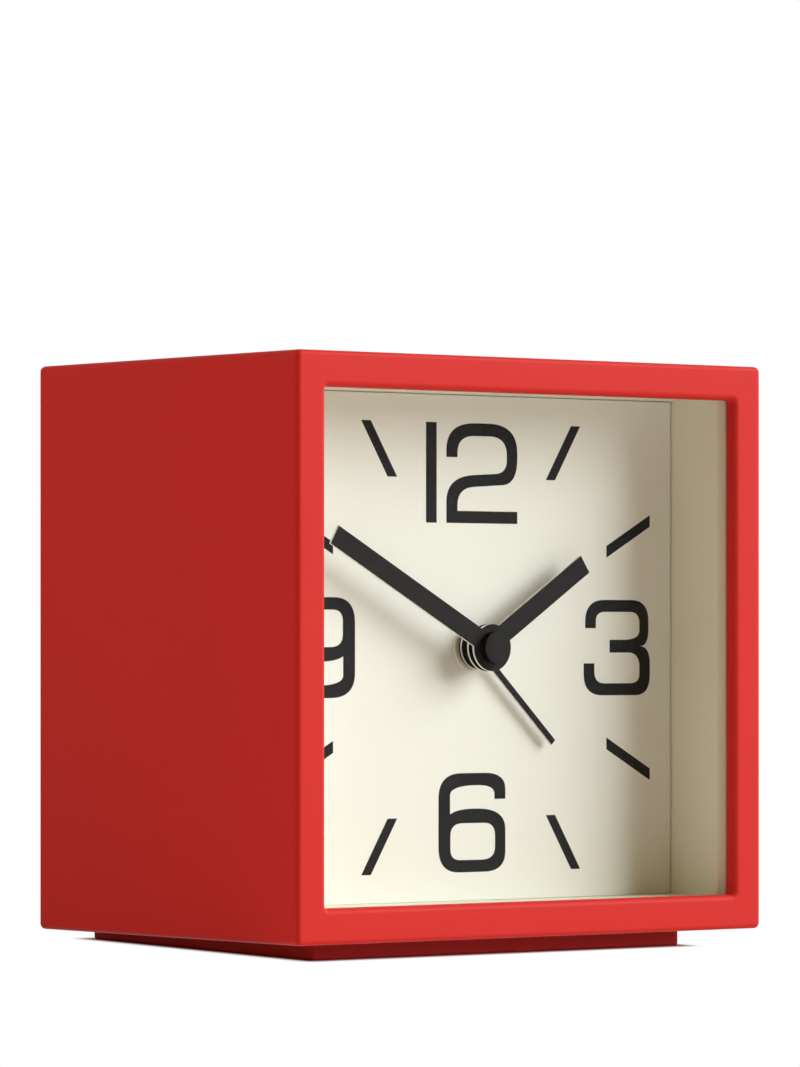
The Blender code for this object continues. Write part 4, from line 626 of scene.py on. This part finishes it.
def outline_two(width, height):
    """Figure two: round head on an open terminal, a sloping waist and a flat base."""
    inner = width - STROKE * 0.96
    head = height - BAR_STROKE * 1.05
    return [ease([
        (0.0, 0.0), (width, 0.0), (width, BAR_STROKE), (STROKE, BAR_STROKE),
        (STROKE, height * 0.351, height * 0.175, width * 0.235),
        (width, height * 0.399, width * 0.205, height * 0.26),
        (width, height, height * 0.285, width * 0.405),
        (0.0, height, width * 0.405, height * 0.27),
        (0.0, height * 0.657), (STROKE, height * 0.657),
        (STROKE, head, height * 0.175, width * 0.24),
        (inner, head, width * 0.245, height * 0.19),
        (inner, height * 0.506, height * 0.13, width * 0.165),
        (0.0, height * 0.462, width * 0.38, height * 0.25),
    ])]


def outline_three(width, height):
    """Figure three: two square lobes that meet in a notch, the lower one slightly wider."""
    step = STROKE * 0.14
    middle = height * 0.515
    half_bar = BAR_STROKE * 0.535
    upper_right = width - step
    inner = width - STROKE
    head = height - BAR_STROKE
    return [ease([
        (step, height * 0.704), (step + STROKE, height * 0.704),
        (step + STROKE, head, height * 0.1, width * 0.14),
        (inner, head, width * 0.14, height * 0.12),
        (inner, middle + half_bar, height * 0.1, width * 0.24),
        (width * 0.39, middle + half_bar), (width * 0.39, middle - half_bar),
        (inner, middle - half_bar, width * 0.17, height * 0.15),
        (inner, BAR_STROKE, height * 0.1, width * 0.14),
        (STROKE, BAR_STROKE, width * 0.15, height * 0.13),
        (STROKE, height * 0.335), (0.0, height * 0.335),
        (0.0, 0.0, height * 0.22, width * 0.28),
        (width, 0.0, width * 0.21, height * 0.22),
        (width, middle, height * 0.18, STROKE),
        (width - STROKE * 1.16, middle),
        (upper_right, middle, STROKE * 0.8, height * 0.18),
        (upper_right, height, height * 0.22, width * 0.25),
        (step, height, width * 0.29, height * 0.23),
    ])]


def outline_six(width, height):
    """Figure six: open top with a short terminal, over a square bowl with a counter."""
    waist = height * 0.64
    inner = width - STROKE
    head = height - BAR_STROKE
    left = STROKE * 1.07
    right = width - STROKE * 0.94
    bowl_top = waist - BAR_STROKE * 1.18
    return [
        ease([
            (0.0, 0.0, height * 0.25, width * 0.3),
            (width, 0.0, width * 0.31, height * 0.2),
            (width, waist, height * 0.21, width * 0.43),
            (STROKE * 1.65, waist, width * 0.26, STROKE * 0.7),
            (STROKE * 1.04, height * 0.585),
            (STROKE * 1.04, head, height * 0.1, width * 0.4),
            (inner, head, width * 0.26, height * 0.09),
            (inner, height * 0.735), (width, height * 0.735),
            (width, height, height * 0.165, width * 0.31),
            (0.0, height, width * 0.34, height * 0.25),
        ]),
        ease([
            (left, BAR_STROKE, height * 0.115, width * 0.15),
            (right, BAR_STROKE, width * 0.2, height * 0.13),
            (right, bowl_top, height * 0.13, width * 0.17),
            (left, bowl_top, width * 0.18, height * 0.13),
        ]),
    ]


def placed(outlines, aside, up, turned=False):
    """Outlines moved on the dial, or turned half round and moved."""
    sign = -1.0 if turned else 1.0
    return [[(aside + sign * x, up + sign * y) for x, y in outline] for outline in outlines]


def print_on_dial(name, outlines):
    """Thin layer of ink on the dial card."""
    mesh = plate(name, outlines, CARD_FRONT - INK_THICKNESS + INK_SUNK, INK_THICKNESS)
    add_piece(name, mesh, "case", [INK], "black_hands")


def build_numerals():
    """Printed 12, 3, 6 and 9; the 9 is the 6 turned half round."""
    twelve_foot = NUMERAL_OUTER - TWELVE_HEIGHT
    one = outline_one(TWELVE_HEIGHT)
    two = outline_two(TWELVE_WIDTH, TWELVE_HEIGHT)
    three = outline_three(THREE_WIDTH, THREE_HEIGHT)
    six = outline_six(SIX_WIDTH, SIX_HEIGHT)
    print_on_dial("numeral_12_one", placed(one, ONE_CENTRE, twelve_foot))
    print_on_dial("numeral_12_two", placed(two, TWELVE_LEFT, twelve_foot))
    print_on_dial("numeral_3", placed(three, THREE_LEFT, -THREE_HEIGHT / 2))
    print_on_dial("numeral_6", placed(six, SIX_LEFT, -NUMERAL_OUTER))
    print_on_dial("numeral_9", placed(six, NINE_RIGHT, SIX_HEIGHT / 2, turned=True))


def build_hour_bars():
    """A steep bar cut level at its ends, and a flat one cut upright, in each corner of the dial."""
    half = HOUR_BAR_WIDTH / 2
    for side in (1, -1):
        for end in (1, -1):
            steep_hour, flat_hour = HOURS_OF_CORNER[side, end]
            steep = [
                (side * (reach * STEEP_BAR_SLOPE + offset), end * reach)
                for reach, offset in ((STEEP_BAR_INNER, -half), (STEEP_BAR_INNER, half),
                                      (NUMERAL_OUTER, half), (NUMERAL_OUTER, -half))
            ]
            flat = [
                (side * reach, end * (reach * FLAT_BAR_SLOPE + offset))
                for reach, offset in ((FLAT_BAR_INNER, -half), (FLAT_BAR_OUTER, -half),
                                      (FLAT_BAR_OUTER, half), (FLAT_BAR_INNER, half))
            ]
            print_on_dial(f"hour_bar_{steep_hour}", [steep])
            print_on_dial(f"hour_bar_{flat_hour}", [flat])


def hand_sizes(cad):
    """Length, width, eye radius, heading, depths and bore of a CAD hand, read from its own mesh."""
    points = clock_points(cad)
    reach = max(point.xy.length for point in points)
    ends = [point for point in points if point.xy.length > reach * HAND_TIP_SHARE]
    middle = sum((point.xy for point in ends), Vector((0.0, 0.0))) / len(ends)
    heading = middle.normalized()
    across = Vector((heading.y, -heading.x))
    length = max(point.xy.dot(heading) for point in points)
    width = 2 * max(abs(point.xy.dot(across)) for point in ends)
    eye = max(-point.xy.dot(heading) for point in points)
    front = -max(point.z for point in points)
    back = -min(point.z for point in points)
    bore = min(point.xy.length for point in points)
    return length, width, eye, heading, front, back, bore


def build_hand(name, body, cad):
    """Stamped hand, black in front and behind with pale cut edges, on a short collet."""
    length, width, eye, heading, front, back, bore = hand_sizes(cad)
    width -= 2 * HAND_TRIM
    under = front + HAND_THICKNESS / 2
    shoulder = math.asin(width / 2 / eye)
    start = math.pi / 2 + shoulder
    sweep = 2 * math.pi - 2 * shoulder
    ring = [polar(eye, start + sweep * step / ROUND_STEPS) for step in range(ROUND_STEPS + 1)]
    outline = [(width / 2, length), (-width / 2, length)] + ring
    turned = [(x * heading.y + y * heading.x, -x * heading.x + y * heading.y) for x, y in outline]
    mesh = plate(name, [turned, circle(bore)], front, HAND_THICKNESS)
    for face in mesh.polygons:
        if abs(face.normal.z) < FLAT_ENOUGH:
            face.material_index = 1 if face.center.xy.length < eye * EYE_REACH else 2
    hand = add_piece(name, mesh, body, [BLACK, BARE_EDGE, CUT_EDGE], "black_hands", cad)
    add_bevel(hand, HAND_EDGE, segments=1, weighted=False)
    rim = bore * COLLET_SHARE
    tube = [(bore, under), (rim, under), (rim, back), (bore, back), (bore, under)]
    collet = lathe(f"{name}_collet", tube)
    add_piece(f"{name}_collet", collet, body, [BLACK], "black_hands")


def build_hands():
    """Three hands on nested arbors, under a turned cap."""
    for body in ("minute", "hour", "alarm"):
        build_hand(f"{body}_hand_blade", body, f"{body}_hand")
    low, high = extent("hub_cap")
    radius = high.x
    front, back = -high.z, -low.z
    socket = radius * CAP_SOCKET_SHARE
    half = (front + back) / 2
    rounding = [
        (radius - CAP_EDGE_RADIUS * (1 - math.sin(turn)), front + CAP_EDGE_RADIUS * (1 - math.cos(turn)))
        for turn in quarter_turns()
    ]
    profile = [(0.0, front)] + rounding + [(radius, back), (socket, back), (socket, half), (0.0, half)]
    mesh = lathe("hub_cap_turned", profile)
    # The cap's side faces take the near-black painted shade; its front and back keep the hand paint.
    for face in mesh.polygons:
        face.material_index = 0 if abs(face.normal.z) > FLAT_ENOUGH else 1
    add_piece("hub_cap_turned", mesh, "minute", [BLACK, CAP_SIDE_PAINTED_SHADE], "black_hands", "hub_cap")


def moved_to(mesh, centre):
    """Mesh moved from the hands' axis to another axis along it."""
    mesh.transform(Matrix.Translation((centre.x, centre.y, 0.0)))
    return mesh


def build_knob(name, body, cad):
    """Setting knob: fluted grip, rounded rim, dished end and a socket for its stem."""
    low, high = extent(cad)
    centre = (low + high) / 2
    radius = (high.x - low.x) / 2
    front, back = -high.z, -low.z
    bore = probe(cad, (centre.x, centre.y, -front - KNOB_EDGE), (1, 0, 0)).x - centre.x
    socket = -probe(cad, (centre.x, centre.y, -front + KNOB_EDGE), (0, 0, -1)).z
    dish = radius * KNOB_DISH_SHARE

    def fluted(angle, ring):
        """Share of a ring's radius that the flutes leave; the dish and the socket stay round."""
        depth = KNOB_FLUTE_DEPTH * (0.5 - 0.5 * math.cos(KNOB_FLUTES * angle))
        return 1.0 - depth / radius if ring > dish + KNOB_EDGE else 1.0

    rim = [
        (radius - KNOB_EDGE * (1 - math.cos(turn)), back - KNOB_EDGE * (1 - math.sin(turn)))
        for turn in quarter_turns()
    ]
    profile = [
        (0.0, socket), (bore, socket), (bore, front),
        (radius - KNOB_EDGE, front), (radius, front + KNOB_EDGE),
        *rim,
        (dish + KNOB_DISH_DEPTH, back), (dish, back - KNOB_DISH_DEPTH), (0.0, back - KNOB_DISH_DEPTH),
    ]
    mesh = moved_to(lathe(name, profile, KNOB_FLUTES * STEPS_PER_FLUTE, fluted), centre)
    add_piece(name, mesh, body, [BLACK_PLASTIC], "black_plastic", cad)


def cross_recess(angle, ring):
    """Share of a recess ring's radius that leaves a four-armed driver recess."""
    if ring != SCREW_ARM:
        return 1.0
    along = max(abs(math.cos(angle)), abs(math.sin(angle)))
    across = min(abs(math.cos(angle)), abs(math.sin(angle)))
    return min(1.0 / along, SCREW_ARM_SLENDER / max(across, LEAST_SINE))


def build_rear_screw(name, cad):
    """Pan-head screw with a cross recess and a ringed thread."""
    low, high = extent(cad)
    centre = (low + high) / 2
    head = (high.x - low.x) / 2 * SCREW_HEAD_SHARE
    back, tip = -low.z, -high.z
    base = back - SCREW_HEAD_HEIGHT
    dome = [
        (head - SCREW_DOME * (1 - math.cos(turn)), back - SCREW_DOME * (1 - math.sin(turn)))
        for turn in quarter_turns()
    ]
    thread = []
    turns = int((base - tip) / SCREW_PITCH)
    for ring in range(turns):
        start = base - ring * SCREW_PITCH
        thread += [(SCREW_CORE, start), (SCREW_THREAD, start - SCREW_PITCH / 2)]
    profile = [
        (0.0, back - SCREW_RECESS), (SCREW_ARM, back - SCREW_RECESS), (SCREW_ARM, back),
        *reversed(dome),
        (head, base),
        *thread,
        (SCREW_CORE, base - turns * SCREW_PITCH), (0.0, tip),
    ]
    mesh = moved_to(lathe(name, profile, waist=cross_recess), centre)
    add_piece(name, mesh, "case", [STEEL], "bright_steel", cad)


def build_battery():
    """Cell with a plain two-tone jacket, bare ends and a raised contact."""
    low, high = extent("battery")
    centre = (low + high) / 2
    radius = (high.y - low.y) / 2
    nub = low.y + radius - probe("battery", (high.x - NUB_LENGTH / 2, low.y, centre.z), (0, 1, 0)).y
    shoulder = high.x - NUB_LENGTH
    band = shoulder - (shoulder - low.x) * BAND_SHARE
    crimp = radius - JACKET_EDGE
    profile = [
        (0.0, low.x), (crimp, low.x), (radius, low.x + JACKET_EDGE), (radius, band),
        (radius, shoulder - JACKET_EDGE), (crimp, shoulder), (nub, shoulder), (nub, high.x), (0.0, high.x),
    ]
    mesh = lathe("battery_cell", profile)
    for face in mesh.polygons:
        along = -face.center.z
        if face.center.xy.length > crimp:
            face.material_index = 0 if along < band else 1
        else:
            face.material_index = 2
    lying = Matrix.Rotation(-math.pi / 2, 4, "Y")
    mesh.transform(Matrix.Translation((0.0, centre.y, centre.z)) @ lying)
    add_piece("battery_cell", mesh, "case", [JACKET, JACKET_BAND, STEEL], "battery_jacket", "battery")


def build_rear():
    """Knobs, screws, cell and softened mouldings of the back."""
    build_battery()
    build_knob("time_knob_turned", "time_setting", "time_knob")
    build_knob("alarm_knob_turned", "alarm_setting", "alarm_knob")
    for index in range(1, 5):
        build_rear_screw(f"rear_screw_{index}_turned", f"rear_screw_{index}")
    for cad in ("battery_door", "switch_slider"):
        add_bevel(NODES[cad], MOULDED_EDGE_RADIUS, segments=2, weighted=False)


# Studio and camera


def build_studio():
    """Pale floor, white surroundings with a dim warm light, and the soft lamps."""
    size = FLOOR_SIZE / 2
    shape = bmesh.new()
    corners = ((-size, -size), (size, -size), (size, size), (-size, size))
    shape.faces.new([shape.verts.new((x, y, 0.0)) for x, y in corners])
    floor = bpy.data.objects.new("floor", finish_mesh(shape, "floor"))
    bpy.context.scene.collection.objects.link(floor)
    floor.data.materials.append(floor_surface())

    world = bpy.data.worlds.new("studio")
    bpy.context.scene.world = world
    world.use_nodes = True
    tree = world.node_tree
    tree.nodes.clear()
    light = node(tree, "ShaderNodeBackground", Color=(*SKY_COLOUR, 1.0), Strength=1.0)
    white = node(tree, "ShaderNodeBackground", Color=(1.0, 1.0, 1.0, 1.0), Strength=1.0)
    mix = tree.nodes.new("ShaderNodeMixShader")
    tree.links.new(seen_directly(tree), mix.inputs["Fac"])
    tree.links.new(light.outputs["Background"], mix.inputs[1])
    tree.links.new(white.outputs["Background"], mix.inputs[2])
    output = tree.nodes.new("ShaderNodeOutputWorld")
    tree.links.new(mix.outputs["Shader"], output.inputs["Surface"])

    for lamp in LAMPS:
        add_lamp(*lamp)


def add_lamp(name, azimuth, elevation, width, height, power, colour):
    """Softbox that faces the dial; a positive azimuth is to the viewer's right."""
    azimuth = math.radians(azimuth)
    elevation = math.radians(elevation)
    data = bpy.data.lights.new(name, "AREA")
    data.shape = "RECTANGLE"
    data.size = width
    data.size_y = height
    data.energy = power
    data.color = colour
    lamp = bpy.data.objects.new(name, data)
    level = math.cos(elevation)
    heading = Vector((level * math.sin(azimuth), math.sin(elevation), level * math.cos(azimuth)))
    heading = CLOCK.to_3x3() @ heading
    lamp.location = CLOCK @ Vector((0.0, 0.0, -DIAL_DEPTH)) + heading * LAMP_DISTANCE
    lamp.rotation_euler = heading.to_track_quat("Z", "Y").to_euler()
    bpy.context.scene.collection.objects.link(lamp)


def seen_directly(tree):
    """1 for rays from the camera, a mirror or glass, which see the white surroundings."""
    rays = node(tree, "ShaderNodeLightPath")
    value = rays.outputs["Is Camera Ray"]
    for name in ("Is Glossy Ray", "Is Transmission Ray"):
        either = tree.nodes.new("ShaderNodeMath")
        either.operation = "MAXIMUM"
        tree.links.new(value, either.inputs[0])
        tree.links.new(rays.outputs[name], either.inputs[1])
        value = either.outputs["Value"]
    return value


def floor_surface():
    """White floor that keeps the shadow near the clock and runs out into white away from it."""
    made = bpy.data.materials.new("pale_floor")
    made.use_nodes = True
    tree = made.node_tree
    shader = tree.nodes["Principled BSDF"]
    shader.inputs["Base Color"].default_value = (*FLOOR_COLOUR, 1.0)
    shader.inputs["Roughness"].default_value = FLOOR_ROUGHNESS
    shader.inputs["Specular IOR Level"].default_value = 0.0
    place = node(tree, "ShaderNodeTexCoord").outputs["Object"]
    low, high = FOOT_BOX
    steps = (
        ("SUBTRACT", ((low.x + high.x) / 2, (low.y + high.y) / 2, 0.0)),
        ("ABSOLUTE", None),
        ("SUBTRACT", ((high.x - low.x) / 2, (high.y - low.y) / 2, 0.0)),
        ("MAXIMUM", (0.0, 0.0, 0.0)),
    )
    for operation, operand in steps:
        step = tree.nodes.new("ShaderNodeVectorMath")
        step.operation = operation
        tree.links.new(place, step.inputs[0])
        if operand:
            step.inputs[1].default_value = operand
        place = step.outputs["Vector"]
    distance = tree.nodes.new("ShaderNodeVectorMath")
    distance.operation = "LENGTH"
    tree.links.new(place, distance.inputs[0])
    reach = node(tree, "ShaderNodeMapRange", Value=distance.outputs["Value"])
    reach.interpolation_type = "SMOOTHSTEP"
    reach.inputs["From Min"].default_value = 0.0
    reach.inputs["From Max"].default_value = SHADOW_REACH
    white = node(tree, "ShaderNodeEmission", Color=(1.0, 1.0, 1.0, 1.0), Strength=1.0)
    fade = tree.nodes.new("ShaderNodeMath")
    fade.operation = "MULTIPLY"
    tree.links.new(reach.outputs["Result"], fade.inputs[0])
    tree.links.new(seen_directly(tree), fade.inputs[1])
    mix = tree.nodes.new("ShaderNodeMixShader")
    tree.links.new(fade.outputs["Value"], mix.inputs["Fac"])
    tree.links.new(shader.outputs["BSDF"], mix.inputs[1])
    tree.links.new(white.outputs["Emission"], mix.inputs[2])
    tree.links.new(mix.outputs["Shader"], tree.nodes["Material Output"].inputs["Surface"])
    return made


def place_camera():
    """Camera level with the case, to the left of the dial, with the photograph's framing."""
    forward = Vector((math.sin(CAMERA_AZIMUTH), 0.0, -math.cos(CAMERA_AZIMUTH)))
    right = Vector((math.cos(CAMERA_AZIMUTH), 0.0, math.sin(CAMERA_AZIMUTH)))
    up = Vector((0.0, 1.0, 0.0))
    data = bpy.data.cameras.new("photo_camera")
    data.sensor_width = SENSOR
    data.sensor_fit = "AUTO"
    data.lens = FOCAL_PIXELS / IMAGE_SIZE[1] * SENSOR
    data.shift_y = (HORIZON_PIXEL - IMAGE_SIZE[1] / 2) / IMAGE_SIZE[1]
    data.clip_start = NEAREST_SIGHT
    camera = bpy.data.objects.new("photo_camera", data)
    stand = Matrix.Translation(right * CAMERA_ASIDE - forward * CAMERA_DISTANCE)
    turn = Matrix((right, up, -forward)).transposed().to_4x4()
    camera.matrix_world = CLOCK @ stand @ turn
    bpy.context.scene.collection.objects.link(camera)
    bpy.context.scene.camera = camera


build_case()
build_foot()
build_card()
build_numerals()
build_hour_bars()
build_hands()
build_rear()
build_studio()
place_camera()
bpy.context.scene.view_settings.view_transform = "Standard"
